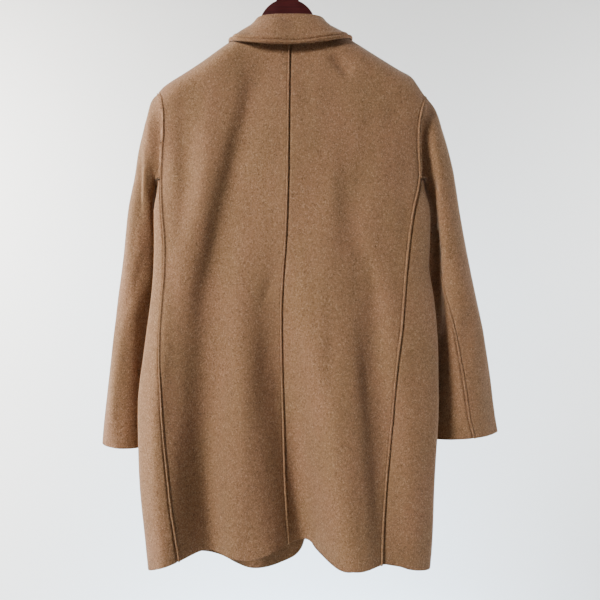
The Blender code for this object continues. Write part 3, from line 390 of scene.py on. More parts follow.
class ClothSettings(bpy.types.PropertyGroup):
    thickness: length_setting("Thickness", "Thickness of the double-faced wool", 0.0025, 0.001, 0.004)
    seam_height: share_setting("Seam height", "Height of the lapped seams")
    crease_depth: share_setting("Crease depth", "Depth of the fine creases")
    camel: colour_setting("Camel", "Main colour of the wool", (0.240, 0.128, 0.066))
    dark_fibre: colour_setting("Dark fibre", "Colour of the darkest fibres", (0.080, 0.040, 0.019))
    pale_fibre: colour_setting("Pale fibre", "Colour of the palest fibres", (0.470, 0.305, 0.190))


class TrimSettings(bpy.types.PropertyGroup):
    thread: colour_setting("Thread", "Colour of the sewing thread", (0.190, 0.095, 0.045))
    stitch_length: length_setting("Stitch length", "Visible length of one stitch", 0.0026, 0.001, 0.008)
    stitch_pitch: length_setting("Stitch pitch", "From the start of one stitch to the next", 0.0040,
                                 0.002, 0.012)
    horn_dark: colour_setting("Dark horn", "Main colour of the buttons", (0.045, 0.022, 0.011))
    horn_pale: colour_setting("Pale horn", "Colour of the streaks in the buttons", (0.235, 0.135, 0.065))


class HangerSettings(bpy.types.PropertyGroup):
    lacquer: colour_setting("Lacquer", "Main colour of the lacquered wood", (0.078, 0.009, 0.010))
    grain: colour_setting("Grain", "Colour of the wood's dark grain", (0.022, 0.004, 0.004))
    steel: colour_setting("Steel", "Colour of the hook", (0.60, 0.60, 0.61))


class StageSettings(bpy.types.PropertyGroup):
    floor: colour_setting("Floor", "Colour of the floor and the sweep behind", (0.86, 0.86, 0.855))
    key_power: power_setting("Key light", "Power of the large light at the coat's left", 14.4)
    fill_power: power_setting("Fill light", "Power of the soft light at the coat's right", 2.0)
    backdrop_power: power_setting("Backdrop light", "Power that the sweep's lights have shares of", 190.0)
    surround: FloatProperty(
        name="Surround", description="Brightness of the pale room all round", default=0.06, min=0.0)


# ---------------------------------------------------------------- curves and surfaces

class Line:
    """Smooth curve through rows of values, read at an array of places."""

    def __init__(self, places, values):
        order = np.argsort(places)
        self.places = np.asarray(places, float)[order]
        self.values = np.asarray(values, float)[order]
        shape = (-1,) + (1,) * (self.values.ndim - 1)
        slopes = np.diff(self.values, axis=0) / np.diff(self.places).reshape(shape)
        inner = (self.values[2:] - self.values[:-2]) / (
            self.places[2:] - self.places[:-2]).reshape(shape)
        self.tangents = np.concatenate((slopes[:1], inner, slopes[-1:]))

    def __call__(self, place):
        place = np.clip(np.asarray(place, float), self.places[0], self.places[-1])
        row = np.clip(np.searchsorted(self.places, place) - 1, 0, len(self.places) - 2)
        span = self.places[row + 1] - self.places[row]
        part = (place - self.places[row]) / span
        shape = np.shape(place) + (1,) * (self.values.ndim - 1)
        span, part = np.reshape(span, shape), np.reshape(part, shape)
        start, end = self.tangents[row] * span, self.tangents[row + 1] * span
        rise = self.values[row + 1] - self.values[row]
        return (self.values[row] + part * start + part ** 2 * (3 * rise - 2 * start - end)
                + part ** 3 * (start + end - 2 * rise))


def line(rows, place, value):
    """Curve of one named column of a table over another."""
    return Line([getattr(row, place) for row in rows], [getattr(row, value) for row in rows])


SECTION = {name: line(SECTIONS, "z", name) for name in ("right", "left", "mid_y", "back", "front")}
SHOULDER_TOP = line(SHOULDER, "x", "z")
EDGE_X = {key: line(rows, "z", "x") for key, rows in PANEL_EDGE.items()}
CENTRE_X = {key: line(rows, "z", "x") for key, rows in PANEL_CENTRE.items()}
HEM_Z = {face: line(HEM, "x", face) for face in ("back", "front")}
EDGE_FORMS = {"lapped": LAPPED, "tucked": TUCKED, "turned": TURNED}
EDGE_RISE = {kind: line(rows, "distance", "rise") for kind, rows in EDGE_FORMS.items()}
EDGE_COLUMNS = {kind: [row.distance for row in rows] for kind, rows in EDGE_FORMS.items()}
SEAM_DEGREES = {(side, name): line(rows, "share", name)
                for side, rows in SLEEVE_SEAMS.items() for name in ("back", "front")}
COLLAR_LINE = {name: line(COLLAR, "along", name) for name in CollarRow._fields[1:]}
UP = np.array((0.0, 0.0, 1.0))


def sign_of(side):
    return 1 if side == "left" else -1


def soft_step(value):
    value = np.clip(value, 0.0, 1.0)
    return value * value * (3 - 2 * value)


def unit(vectors):
    return vectors / np.maximum(np.linalg.norm(vectors, axis=-1, keepdims=True), 1e-9)


def point(x, y, z):
    """Points from arrays that may have different shapes."""
    return np.stack(np.broadcast_arrays(x, y, z), -1)


def crease_rise(creases, across, down):
    """Height of the listed creases, each steeper on one side and dying out at both ends."""
    total = np.zeros(np.broadcast(across, down).shape)
    for from_across, from_down, to_across, to_down, bow, width, rise in creases:
        run = np.array((to_across - from_across, to_down - from_down))
        length = np.hypot(*run)
        part = ((across - from_across) * run[0] + (down - from_down) * run[1]) / length ** 2
        inside = np.clip(part, 0.0, 1.0)
        off = ((across - from_across) * run[1] - (down - from_down) * run[0]) / length
        off = off - bow * np.sin(np.pi * inside)
        breadth = np.where(off > 0, width * 1.25, width * 0.80)
        total += rise * np.sin(np.pi * inside) ** 0.8 * np.exp(-(off / breadth) ** 2 / 2)
    return total


def ripple(across, down, seed, height=0.00036):
    """Faint unevenness of hung cloth, longer downwards than across."""
    dice = np.random.default_rng(seed)
    total = 0.0
    for _ in range(14):
        wave = dice.uniform(0.022, 0.085)
        lean = dice.normal(0.0, 0.45)
        phase = dice.uniform(0.0, math.tau)
        total = total + np.sin((across * math.cos(lean) + down * math.sin(lean) * 0.5)
                               * math.tau / wave + phase) * wave / 0.05
    return total * height / 3.0


def fold_rise(face, x, z, depth):
    """Height of the large folds and the fine creases over the plain section."""
    total = np.zeros(np.broadcast(x, z).shape)
    for fold in FOLDS:
        if fold.face == face:
            fold_x = Line(FOLD_LEVELS, fold[2:7])(z)
            total += Line(FOLD_LEVELS, fold[7:12])(z) * np.exp(-((x - fold_x) / fold.width) ** 2 / 2)
    creases = [crease[1:] for crease in CREASES if crease.face == face]
    total += depth * crease_rise(creases, x, z)
    return total + depth * ripple(x, z, RIPPLE_SEEDS[face])


def way_out(face):
    """Which way along Y a face of the coat looks."""
    return 1 if face == "back" else -1


def section(z):
    """The body's middle in X, its half width and its middle in Y, at a height."""
    right, left = SECTION["right"](z), SECTION["left"](z)
    return (left + right) / 2, (left - right) / 2, SECTION["mid_y"](z)


def side_fade(share):
    """How much of the folds is left near the body's sides."""
    return 1 - soft_step((np.abs(share) - 0.80) / 0.20)


def face_point(face, x, z, depth):
    """Points of the coat's outside on its back or front face."""
    middle_x, half, middle_y = section(z)
    share = np.minimum(np.abs(x - middle_x) / half, 0.999)
    reach = (1 - share ** SIDE_POWER) ** (1 / SIDE_POWER)
    drop = (SHOULDER_TOP(x) - z) / SHOULDER_DROP
    turn = np.sqrt(np.maximum(1 - (1 - np.clip(drop, 0.0, 1.0)) ** 2, 0.0))
    out = SECTION[face](z) * reach + fold_rise(face, x, z, depth) * side_fade(share)
    near_ridge = 1 - soft_step(drop / 3)
    base_y = middle_y * (1 - near_ridge) + RIDGE_Y * near_ridge
    return point(x, base_y + way_out(face) * out * turn, z)


def side_point(side, around, z, depth):
    """Points of the outside beyond the faces; around is 1 at the back and -1 at the front."""
    middle_x, half, middle_y = section(z)
    result = np.zeros(np.broadcast(around, z).shape + (3,))
    for face, mask in (("back", around >= 0), ("front", around < 0)):
        seam_share = np.abs(EDGE_X[face, side](z) - middle_x) / half
        reach = (1 - seam_share ** SIDE_POWER) ** (1 / SIDE_POWER) * np.abs(around)
        share = (1 - reach ** SIDE_POWER) ** (1 / SIDE_POWER)
        x = middle_x + sign_of(side) * half * share
        out = SECTION[face](z) * reach + fold_rise(face, x, z, depth) * side_fade(share)
        where = np.broadcast_to(mask, result.shape[:-1])
        result[where] = point(x, middle_y + way_out(face) * out, z)[where]
    return result


def neck_height(face, x):
    """Height of the neckline, dipping at the centre back and lower at the centre front."""
    share = np.minimum(np.abs(x - NECK_X) / NECK_HALF, 1.0)
    ridge = SHOULDER_TOP(NECK_X + np.copysign(NECK_HALF, x - NECK_X))
    middle = NECK_BACK_Z if face == "back" else NECK_FRONT_Z
    return middle + (ridge - middle) * share ** (2.5 if face == "back" else 3.5)


def top_height(face, x):
    return np.where(np.abs(x - NECK_X) < NECK_HALF, neck_height(face, x), SHOULDER_TOP(x))


def settled_top(face, x_at, top):
    """Height at which a column that leans as x_at says meets the shoulder ridge or neckline."""
    for _ in range(TOP_PASSES):
        top = (top + top_height(face, x_at(top))) / 2
    return top


def ridge_normals(x):
    """Directions square to the shoulder ridge, in its own plane."""
    step = 0.0015
    slope = (SHOULDER_TOP(x + step) - SHOULDER_TOP(x - step)) / (2 * step)
    return unit(point(-slope, 0.0, 1.0))


def grid_normals(grid, outside):
    """Normals of a grid of points, turned to the side that outside points to."""
    across = np.gradient(grid, axis=1)
    down = np.gradient(grid, axis=0)
    normals = unit(np.cross(across, down))
    return normals * np.where(np.sum(normals * outside, -1, keepdims=True) < 0, -1.0, 1.0)


# ---------------------------------------------------------------- meshes

def link(name, vertices, faces, finish):
    """New object from numpy arrays, facing out and shaded smooth."""
    mesh = bpy.data.meshes.new(name)
    mesh.from_pydata(np.asarray(vertices).tolist(), [], [list(face) for face in faces])
    model = bmesh.new()
    model.from_mesh(mesh)
    bmesh.ops.recalc_face_normals(model, faces=model.faces)
    model.to_mesh(mesh)
    model.free()
    mesh.shade_smooth()
    mesh.materials.append(finish)
    item = bpy.data.objects.new(name, mesh)
    bpy.context.scene.collection.objects.link(item)
    return item


def shell(name, outer, inner, finish, bulge=0.28):
    """Closed cloth wall between two grids of points, its edges rounded by a middle row."""
    rows, columns = outer.shape[:2]
    count = rows * columns
    index = np.arange(count).reshape(rows, columns)
    quads = np.stack((index[:-1, :-1], index[:-1, 1:], index[1:, 1:], index[1:, :-1]), -1)
    quads = quads.reshape(-1, 4)
    border = np.concatenate((index[0], index[1:, -1], index[-1, -2::-1], index[-2:0:-1, 0]))
    row, column = border // columns, border % columns
    outside, inside = outer.reshape(-1, 3), inner.reshape(-1, 3)
    kept = outer[np.clip(row, 1, rows - 2), np.clip(column, 1, columns - 2)]
    thick = np.linalg.norm(outside[border] - inside[border], axis=-1, keepdims=True)
    middle = (outside[border] + inside[border]) / 2
    middle = middle + unit(outside[border] - kept) * thick * bulge
    ring = np.arange(len(border)) + 2 * count
    after, ring_after = np.roll(border, -1), np.roll(ring, -1)
    rim = np.concatenate((np.stack((border, after, ring_after, ring), -1),
                          np.stack((ring, ring_after, after + count, border + count), -1)))
    faces = np.concatenate((quads, quads[:, ::-1] + count, rim)).tolist()
    return link(name, np.concatenate((outside, inside, middle)), faces, finish)


def run_along(path):
    """Length of a path up to each of its points."""
    return np.concatenate(((0.0,), np.cumsum(np.linalg.norm(np.diff(path, axis=0), axis=-1))))


def ring_faces(rings, count):
    """Faces between rings of points, with the first and last ring closed."""
    faces = [(ring * count + place, ring * count + (place + 1) % count,
              (ring + 1) * count + (place + 1) % count, (ring + 1) * count + place)
             for ring in range(rings - 1) for place in range(count)]
    return faces + [tuple(range(count)), tuple(range((rings - 1) * count, rings * count))]


def seat(item, stands_for=None):
    """Say what a piece rides on and which solid it replaces, if any."""
    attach(item, "root")
    if stands_for is not None:
        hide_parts(stands_for)


def tube(path, radii, sides):
    """Vertices and faces of a round bar along a path, with closed ends."""
    path = np.asarray(path, float)
    radii = np.broadcast_to(np.asarray(radii, float), (len(path),))
    ahead = unit(np.gradient(path, axis=0))
    guide = np.array((0.0, 1.0, 0.0)) if abs(ahead[0][1]) < 0.8 else np.array((1.0, 0.0, 0.0))
    first = unit(np.cross(ahead, guide))
    second = np.cross(ahead, first)
    turns = np.linspace(0, math.tau, sides, endpoint=False)
    rings = (path[:, None] + radii[:, None, None] * (
        first[:, None] * np.cos(turns)[:, None] + second[:, None] * np.sin(turns)[:, None]))
    return rings.reshape(-1, 3), ring_faces(len(path), sides)


def joined(name, parts, finish):
    """One object from many pairs of vertices and faces."""
    vertices, faces, start = [], [], 0
    for some, some_faces in parts:
        vertices.append(np.asarray(some))
        faces += [tuple(corner + start for corner in face) for face in some_faces]
        start += len(some)
    return link(name, np.concatenate(vertices), faces, finish)


def stitches(path, outward, length, pitch, radius=0.00042):
    """Rounded stitches along a path, sunk at both ends into the cloth."""
    path = np.asarray(path)
    run = run_along(path)
    starts = np.arange(pitch, run[-1] - pitch, pitch)
    shares = np.array((0.0, 0.22, 0.5, 0.78, 1.0))
    heights = np.array((-0.9, 0.35, 0.75, 0.35, -0.9)) * radius
    widths = np.array((0.35, 0.90, 1.00, 0.90, 0.35)) * radius
    parts = []
    for start in starts:
        places = start + shares * length
        middle, lift = (np.stack([np.interp(places, run, values[:, axis]) for axis in range(3)], -1)
                        for values in (path, outward))
        parts.append(tube(middle + unit(lift) * heights[:, None], widths, 5))
    return parts


# ---------------------------------------------------------------- finishes

class Value:
    """A shader socket that takes part in Python expressions on numbers."""

    def __init__(self, finish, socket):
        self.finish, self.socket = finish, socket

    def math(self, operation, first, second):
        node = self.finish.node("Math", {"operation": operation}, {0: first, 1: second})
        return Value(self.finish, node.outputs[0])

    def __add__(self, other):
        return self.math("ADD", self, other)

    def __radd__(self, other):
        return self.math("ADD", other, self)

    def __sub__(self, other):
        return self.math("SUBTRACT", self, other)

    def __rsub__(self, other):
        return self.math("SUBTRACT", other, self)

    def __mul__(self, other):
        return self.math("MULTIPLY", self, other)

    def __rmul__(self, other):
        return self.math("MULTIPLY", other, self)


class Finish:
    """A procedural material that is built up in expressions."""

    def __init__(self, name, **constants):
        self.material = bpy.data.materials.new(name)
        self.material.use_nodes = True
        self.tree = self.material.node_tree
        self.shader = self.tree.nodes["Principled BSDF"]
        for socket, value in constants.items():
            self.shader.inputs[socket.replace("_", " ")].default_value = value
        self.place = self.node("TexCoord").outputs["Object"]

    def put(self, socket, value):
        if isinstance(value, Value):
            value = value.socket
        if isinstance(value, bpy.types.NodeSocket):
            self.tree.links.new(value, socket)
        elif socket.type == "RGBA" and len(value) == 3:
            socket.default_value = (*value, 1.0)
        else:
            socket.default_value = value

    def node(self, kind, settings=None, sockets=None):
        """A node of a kind, its settings made first, then the values or links of its sockets."""
        node = self.tree.nodes.new("ShaderNode" + kind)
        for name, value in (settings or {}).items():
            if name == "stops":
                ramp = node.color_ramp
                while len(ramp.elements) < len(value):
                    ramp.elements.new(1.0)
                for element, (position, level) in zip(ramp.elements, value):
                    element.position = position
                    element.color = (level, level, level, 1.0)
            else:
                setattr(node, name, value)
        for name, value in (sockets or {}).items():
            self.put(node.inputs[name], value)
        return node

    def scaled(self, x, y, z):
        return self.node("VectorMath", {"operation": "MULTIPLY"},
                         {0: self.place, 1: (x, y, z)}).outputs[0]

    def noise(self, stretch, detail=3.0, roughness=0.5, distortion=0.0):
        """Noise from about 0 to 1; stretch gives how many grains fit a metre on each axis."""
        node = self.node("TexNoise", None, {
            "Vector": self.scaled(*stretch), "Scale": 1.0, "Detail": detail,
            "Roughness": roughness, "Distortion": distortion})
        return Value(self, node.outputs["Fac"])

    def levels(self, value, *stops):
        return Value(self, self.node("ValToRGB", {"stops": stops}, {0: value}).outputs[0])

    def mix(self, factor, first, second, blend="MIX"):
        return self.node("Mix", {"data_type": "RGBA", "blend_type": blend},
                         {0: factor, 6: first, 7: second}).outputs[2]

    def bump(self, height, distance, strength=1.0):
        return self.node("Bump", None, {"Height": height, "Distance": distance,
                                        "Strength": strength}).outputs["Normal"]

    def use(self, **sockets):
        for name, value in sockets.items():
            self.put(self.shader.inputs[name.replace("_", " ")], value)
        return self.material


def wool_finish(cloth):
    """Brushed melange: dark and pale fibres among the camel, with a short nap combed downwards."""
    wool = Finish("wool_melange", Roughness=0.93, Sheen_Weight=0.12, Sheen_Roughness=0.45,
                  Specular_IOR_Level=0.18)
    clumps = wool.noise((340, 340, 270), detail=3.0, roughness=0.66, distortion=0.5)
    fibres = wool.noise((980, 980, 620), detail=2.0, roughness=0.65)
    flecks = wool.noise((470, 470, 360), detail=2.5, roughness=0.70, distortion=0.4)
    clouds = wool.noise((17, 17, 9), detail=2.0)
    dark = wool.levels(clumps * 0.62 + fibres * 0.38, (0.37, 1.0), (0.51, 0.0))
    pale = wool.levels(flecks * 0.68 + fibres * 0.32, (0.50, 0.0), (0.64, 1.0))
    colour = wool.mix(dark * 0.74, cloth.camel, cloth.dark_fibre)
    colour = wool.mix(pale * 0.62, colour, cloth.pale_fibre)
    tint = wool.levels(clouds, (0.35, 0.0), (0.65, 1.0))
    warmer = wool.mix(tint, (0.965, 0.985, 0.945), (1.035, 1.005, 1.015))
    colour = wool.mix(1.0, colour, warmer, "MULTIPLY")
    nap = wool.bump(clumps * 0.5 + flecks * 0.3 + fibres * 0.2, 0.0011, 0.85)
    return wool.use(Base_Color=colour, Roughness=0.98 - pale * 0.10, Normal=nap)


def thread_finish(trim):
    thread = Finish("thread", Roughness=0.7, Sheen_Weight=0.15)
    twist = thread.noise((1500, 1500, 1500), detail=1.0)
    shade = thread.levels(twist, (0.35, 0.0), (0.65, 1.0))
    darker = tuple(channel * 0.62 for channel in trim.thread)
    return thread.use(Base_Color=thread.mix(shade, darker, tuple(trim.thread)),
                      Roughness=0.62 + twist * 0.2, Normal=thread.bump(twist, 0.0003))


def horn_finish(trim):
    horn = Finish("polished_horn", Roughness=0.28, Coat_Weight=0.25, Coat_Roughness=0.15)
    streaks = horn.noise((95, 95, 480), detail=4.0, roughness=0.6, distortion=1.4)
    clouds = horn.noise((130, 130, 130), detail=2.0)
    pale = horn.levels(streaks * 0.7 + clouds * 0.3, (0.46, 0.0), (0.66, 1.0))
    scratches = horn.noise((2400, 2400, 700), detail=2.0)
    return horn.use(Base_Color=horn.mix(pale, trim.horn_dark, trim.horn_pale),
                    Roughness=0.24 + scratches * 0.16, Normal=horn.bump(scratches, 0.00008))


def lacquer_finish(hanger):
    """Stained wood under gloss: grain along the arms, and a darker line where the edges were eased."""
    wood = Finish("lacquered_mahogany", Roughness=0.32, Coat_Weight=0.55, Coat_Roughness=0.10)
    grain = wood.noise((22, 260, 340), detail=5.0, roughness=0.65, distortion=0.8)
    pores = wood.noise((140, 900, 1300), detail=2.0)
    clouds = wood.noise((9, 30, 30), detail=2.0)
    dark = wood.levels(grain * 0.75 + pores * 0.25, (0.40, 1.0), (0.60, 0.0))
    colour = wood.mix(dark * 0.85, hanger.lacquer, hanger.grain)
    glow = wood.levels(clouds, (0.35, 0.0), (0.65, 1.0))
    colour = wood.mix(glow * 0.35, colour, tuple(channel * 1.6 for channel in hanger.lacquer))
    edge = wood.levels(Value(wood, wood.node("NewGeometry").outputs["Pointiness"]),
                       (0.505, 0.0), (0.545, 1.0))
    colour = wood.mix(edge * 0.55, colour, hanger.grain)
    return wood.use(Base_Color=colour, Roughness=0.26 + pores * 0.14,
                    Normal=wood.bump(grain * 0.5 + pores * 0.5, 0.00012))


def steel_finish(hanger):
    steel = Finish("polished_steel", Metallic=1.0, Roughness=0.22)
    brushed = steel.noise((2600, 2600, 500), detail=2.0)
    marks = steel.noise((260, 260, 260), detail=3.0)
    dull = steel.levels(marks, (0.45, 0.0), (0.65, 1.0))
    darker = tuple(channel * 0.72 for channel in hanger.steel)
    return steel.use(Base_Color=steel.mix(dull * 0.5, hanger.steel, darker),
                     Roughness=0.16 + brushed * 0.12 + dull * 0.10,
                     Normal=steel.bump(brushed, 0.00004))


def finish_for(slot):
    """The material of a slot, made once."""
    scene = bpy.context.scene
    makers = {"wool_melange": (wool_finish, scene.coat_cloth),
              "thread": (thread_finish, scene.coat_trim),
              "polished_horn": (horn_finish, scene.coat_trim),
              "lacquered_mahogany": (lacquer_finish, scene.coat_hanger),
              "polished_steel": (steel_finish, scene.coat_hanger)}
    made = bpy.data.materials.get(slot)
    if made is None:
        maker, settings = makers[slot]
        made = maker(settings)
    return made


# ---------------------------------------------------------------- cutting and sewing the cloth

def declare(item, node):
    """Say what a cloth piece stands for and what it rides on."""
    seat(item, node)


def edge_stretch(face, side, share, cloth):
    """Length on the cloth for each metre across, beside a panel's edge, by height."""
    heights = np.linspace(PANEL_FOOT_Z, PANEL_TOP_Z, 60)
    step = 0.003
    first = panel_x(face, side, share, 0.0, heights)
    second = first + step * (1 if share == 0 else -1) * sign_of(side)
    gap = face_point(face, first, heights, cloth.crease_depth) - face_point(
        face, second, heights, cloth.crease_depth)
    return Line(heights, np.clip(np.linalg.norm(gap[:, :2], axis=-1) / step, 1.0, 2.2))


def panel_x(face, side, share, offset, z):
    """Place across a panel: a share of its width, and a further offset towards its edge."""
    sign = sign_of(side)
    start = CENTRE_X[face](z) + sign * (FRONT_EDGE_GAP / 2 if face == "front" else 0.0)
    end = EDGE_X[face, side](z)
    return start + (end - start) * share + sign * offset


def panel_columns(start_kind, end_kind, count):
    """Share, distance from each edge and form of every column across a piece."""
    start = EDGE_COLUMNS[start_kind]
    end = EDGE_COLUMNS[end_kind][::-1]
    inner = np.linspace(0, 1, count + 1)[1:-1]
    shares = np.concatenate((np.zeros(len(start)), inner, np.ones(len(end))))
    offsets = np.concatenate((start, start[-1] * (1 - inner) - end[0] * inner, -np.array(end)))
    return shares, offsets


def panel_rows(top, hem):
    """Heights down each column: dense over the shoulder, even to the hem, close at its fold."""
    angles = np.radians(np.linspace(0, 90, TURN_ROWS, endpoint=False))[:, None]
    turn = top - SHOULDER_TURN * (1 - np.cos(angles))
    turn[0] = top - 1e-6
    start = top - SHOULDER_TURN
    yoke = start + (UNDERARM_Z - start) * np.linspace(0, 1, YOKE_ROWS, endpoint=False)[:, None]
    body = UNDERARM_Z + (hem - UNDERARM_Z) * np.linspace(0, 1, BODY_ROWS)[:, None]
    return np.concatenate((turn, yoke, body[:-1], hem + HEM_FOLD[:, None]))


def edge_lift(kind, distance, seam_height):
    """Rise of the outside beside an edge over the plain surface, and 0 beyond the edge's form."""
    rise = np.where(distance <= EDGE_COLUMNS[kind][-1] + 1e-6, EDGE_RISE[kind](distance), 0.0)
    return rise * seam_height


def stitched(grid, normals, distance, where, inset):
    """Path and outward directions of a row of stitches, at a distance inside an edge."""
    places = np.flatnonzero(where)
    place = places[np.argmin(np.abs(distance[places] - inset))]
    return grid[:, place], normals[:, place]


def body_panel(face, side, cloth):
    """Half of the back, or one front, with its lapped seams and folded hem."""
    start_kind = {("back", "left"): "lapped", ("back", "right"): "tucked"}.get((face, side), "turned")
    shares, offsets = panel_columns(start_kind, "lapped", FACE_COLUMNS)
    at_start, at_end = shares == 0, shares == 1
    stretch = [edge_stretch(face, side, share, cloth) for share in (0, 1)]

    def across(z):
        scaled = np.where(at_start, offsets / stretch[0](z), offsets / stretch[1](z))
        middle = offsets * 0.75
        return panel_x(face, side, shares, np.where(at_start | at_end, scaled, middle), z)

    top = settled_top(face, across, np.full(len(shares), YOKE_MIDDLE_Z))
    hem = HEM_Z[face](across(np.full(len(shares), HEM_MIDDLE_Z)))
    z = panel_rows(top[None, :], hem[None, :])
    x = across(z)
    outer = face_point(face, x, z, cloth.crease_depth)
    facing = np.broadcast_to(np.array((0, way_out(face), 0)), outer.shape)
    normals = grid_normals(outer, facing + UP * 0.3)
    on_ridge = np.abs(x[0] - NECK_X) > NECK_HALF * 0.9
    normals[0] = np.where(on_ridge[:, None], ridge_normals(x[0]), normals[0])
    distance = np.where(at_start, offsets, np.where(at_end, -offsets, NO_EDGE))
    lift = np.where(at_start, edge_lift(start_kind, distance, cloth.seam_height),
                    np.where(at_end, edge_lift("lapped", distance, cloth.seam_height), 0.0))
    fade_rows = np.where(at_end, LAP_FADE_ROWS, EDGE_FADE_ROWS)[None, :]
    fade_in = soft_step(np.arange(len(z))[:, None] / fade_rows)[..., None]
    raised = outer + normals * lift[None, :, None] * fade_in
    thick = np.where(distance < LAP_EDGE, LAP_EDGE_THICKNESS, cloth.thickness)
    inner = outer - normals * thick[None, :, None]
    early = slice(0, TURN_ROWS + YOKE_ROWS)
    keep_off = np.maximum if face == "back" else np.minimum
    for grid in (raised, inner):
        grid[early, :, 1] = keep_off(grid[early, :, 1], RIDGE_Y + way_out(face) * RIDGE_GAP)
    item = shell(f"{face}_{side}_cloth", raised, inner, finish_for("wool_melange"))
    seams = [(at_end, STITCH_ROWS, LAP_STITCH)]
    if start_kind == "lapped":
        seams.append((at_start, STITCH_ROWS, LAP_STITCH))
    elif start_kind == "turned":
        seams.append((at_start, EDGE_STITCH_ROWS, TURNED_STITCH))
    return item, [stitched(raised[rows], normals[rows], distance, where, inset)
                  for where, rows, inset in seams]


def side_panel(side, cloth):
    """Panel under the arm, tucked in under the back and the front at both of its seams."""
    end = EDGE_COLUMNS["tucked"]
    middle = np.linspace(1, -1, SIDE_COLUMNS + 1)[1:-1]
    around = np.concatenate((np.ones(len(end)), middle, -np.ones(len(end))))
    distance = np.concatenate((end, np.full(len(middle), NO_EDGE), end[::-1]))
    heights = np.linspace(UNDERARM_Z, PANEL_FOOT_Z, 40)
    depth, step = cloth.crease_depth, 0.04
    per_turn = [Line(heights, np.linalg.norm(
        side_point(side, np.full(40, turn * (1 - step)), heights, depth)
        - side_point(side, np.full(40, turn), heights, depth), axis=-1) / step) for turn in (1.0, -1.0)]

    def turned(z):
        shift = np.where(around > 0, distance / per_turn[0](z), distance / per_turn[1](z))
        near = np.abs(around) == 1
        return np.where(near, around - np.sign(around) * shift, around * (1 - SIDE_TUCK_SHARE))

    low = np.full(len(around), HEM_MIDDLE_Z)
    foot = side_point(side, turned(low), low, depth)
    share = soft_step((around + 1) / 2)
    hem = HEM_Z["front"](foot[:, 0]) * (1 - share) + HEM_Z["back"](foot[:, 0]) * share
    body = UNDERARM_Z + (hem[None, :] - UNDERARM_Z) * np.linspace(0, 1, BODY_ROWS)[:, None]
    z = np.concatenate((body[:-1], hem[None, :] + HEM_FOLD[:, None]))
    outer = side_point(side, turned(z), z, depth)
    outer[..., 0] += sign_of(side) * depth * ripple(outer[..., 1], z, RIPPLE_SEEDS["side"])
    outward = np.radians(around * 80)
    facing = np.broadcast_to(point(sign_of(side) * np.cos(outward), np.sin(outward), 0.0), outer.shape)
    normals = grid_normals(outer, facing)
    lift = edge_lift("tucked", distance, cloth.seam_height)
    raised = outer + normals * lift[None, :, None]
    inner = outer - normals * (cloth.thickness + np.maximum(-lift, 0))[None, :, None]
    return shell(f"side_{side}_cloth", raised, inner, finish_for("wool_melange"), bulge=0.12)


def armhole_loop(side, cloth):
    """Points round the armhole from the tip, down the back edge, under the arm and up the front."""
    depth = cloth.crease_depth
    runs = []
    for face in ("back", "front"):
        top = settled_top(face, EDGE_X[face, side], np.array(YOKE_MIDDLE_Z))
        angles = np.radians(np.linspace(0, 90, ARMHOLE_TURN_POINTS, endpoint=False))
        heights = np.concatenate((top - SHOULDER_TURN * (1 - np.cos(angles)) - 1e-6,
                                  np.linspace(top - SHOULDER_TURN, UNDERARM_Z, ARMHOLE_POINTS)))
        edge_x = EDGE_X[face, side](heights) - sign_of(side) * ARMHOLE_GAP
        runs.append(face_point(face, edge_x, heights, depth))
    arounds = np.linspace(1, -1, ARMHOLE_POINTS)
    under = side_point(side, arounds, np.full(ARMHOLE_POINTS, UNDERARM_Z), depth) + UP * UNDERARM_GAP
    return np.concatenate((runs[0], under, runs[1][::-1]))


def sleeve_rings(side, cloth):
    """A function that gives every ring's points at an array of degrees, and places down the sleeve."""
    loop = armhole_loop(side, cloth)
    middle_y = (loop[:, 1].max() + loop[:, 1].min()) / 2
    half_width = (loop[:, 1].max() - loop[:, 1].min()) / 2
    top_z = loop[0, 2]
    centre_z, half_height = (top_z + UNDERARM_Z) / 2, (top_z - UNDERARM_Z) / 2
    degrees = np.degrees(np.arctan2((loop[:, 1] - middle_y) / half_width,
                                    (loop[:, 2] - centre_z) / half_height)) % 360
    degrees[0], degrees[-1] = 0.0, 360.0
    degrees = np.maximum.accumulate(degrees)

    def points(turn):
        turn = np.asarray(turn, float)
        angle = np.radians(turn)[..., None]
        stack = [np.stack([np.interp(turn % 360, degrees, loop[:, axis]) for axis in range(3)], -1)]
        for ring in SLEEVES[side]:
            centre = np.array(((ring.outer_x + ring.inner_x) / 2, ring.mid_y,
                               (ring.outer_z + ring.inner_z) / 2))
            reach = np.array(((ring.outer_x - ring.inner_x) / 2, 0.0,
                              (ring.outer_z - ring.inner_z) / 2))
            stack.append(centre + reach * np.cos(angle)
                         + np.array((0.0, ring.half_depth, 0.0)) * np.sin(angle))
        return np.stack(stack)

    sample = points(np.arange(0, 360, 10))
    steps = np.linalg.norm(np.diff(sample, axis=0), axis=-1).mean(axis=1)
    return points, np.concatenate(((0.0,), np.cumsum(steps)))


def sleeve_relief(side, turn, down):
    """Height of a sleeve's creases and ripple at degrees round it and places down it."""
    down = np.broadcast_to(down, turn.shape)
    total = ripple(turn * CLOTH_PER_DEGREE, down, RIPPLE_SEEDS[side], 0.00045)
    for crease in SLEEVE_CREASES:
        if crease.side == side:
            away = ((turn - crease.degrees + 180) % 360 - 180) * CLOTH_PER_DEGREE
            to_across = (crease.to_degrees - crease.degrees) * CLOTH_PER_DEGREE
            total = total + crease_rise([(0.0, crease.down, to_across, *crease[4:])], away, down)
    return total


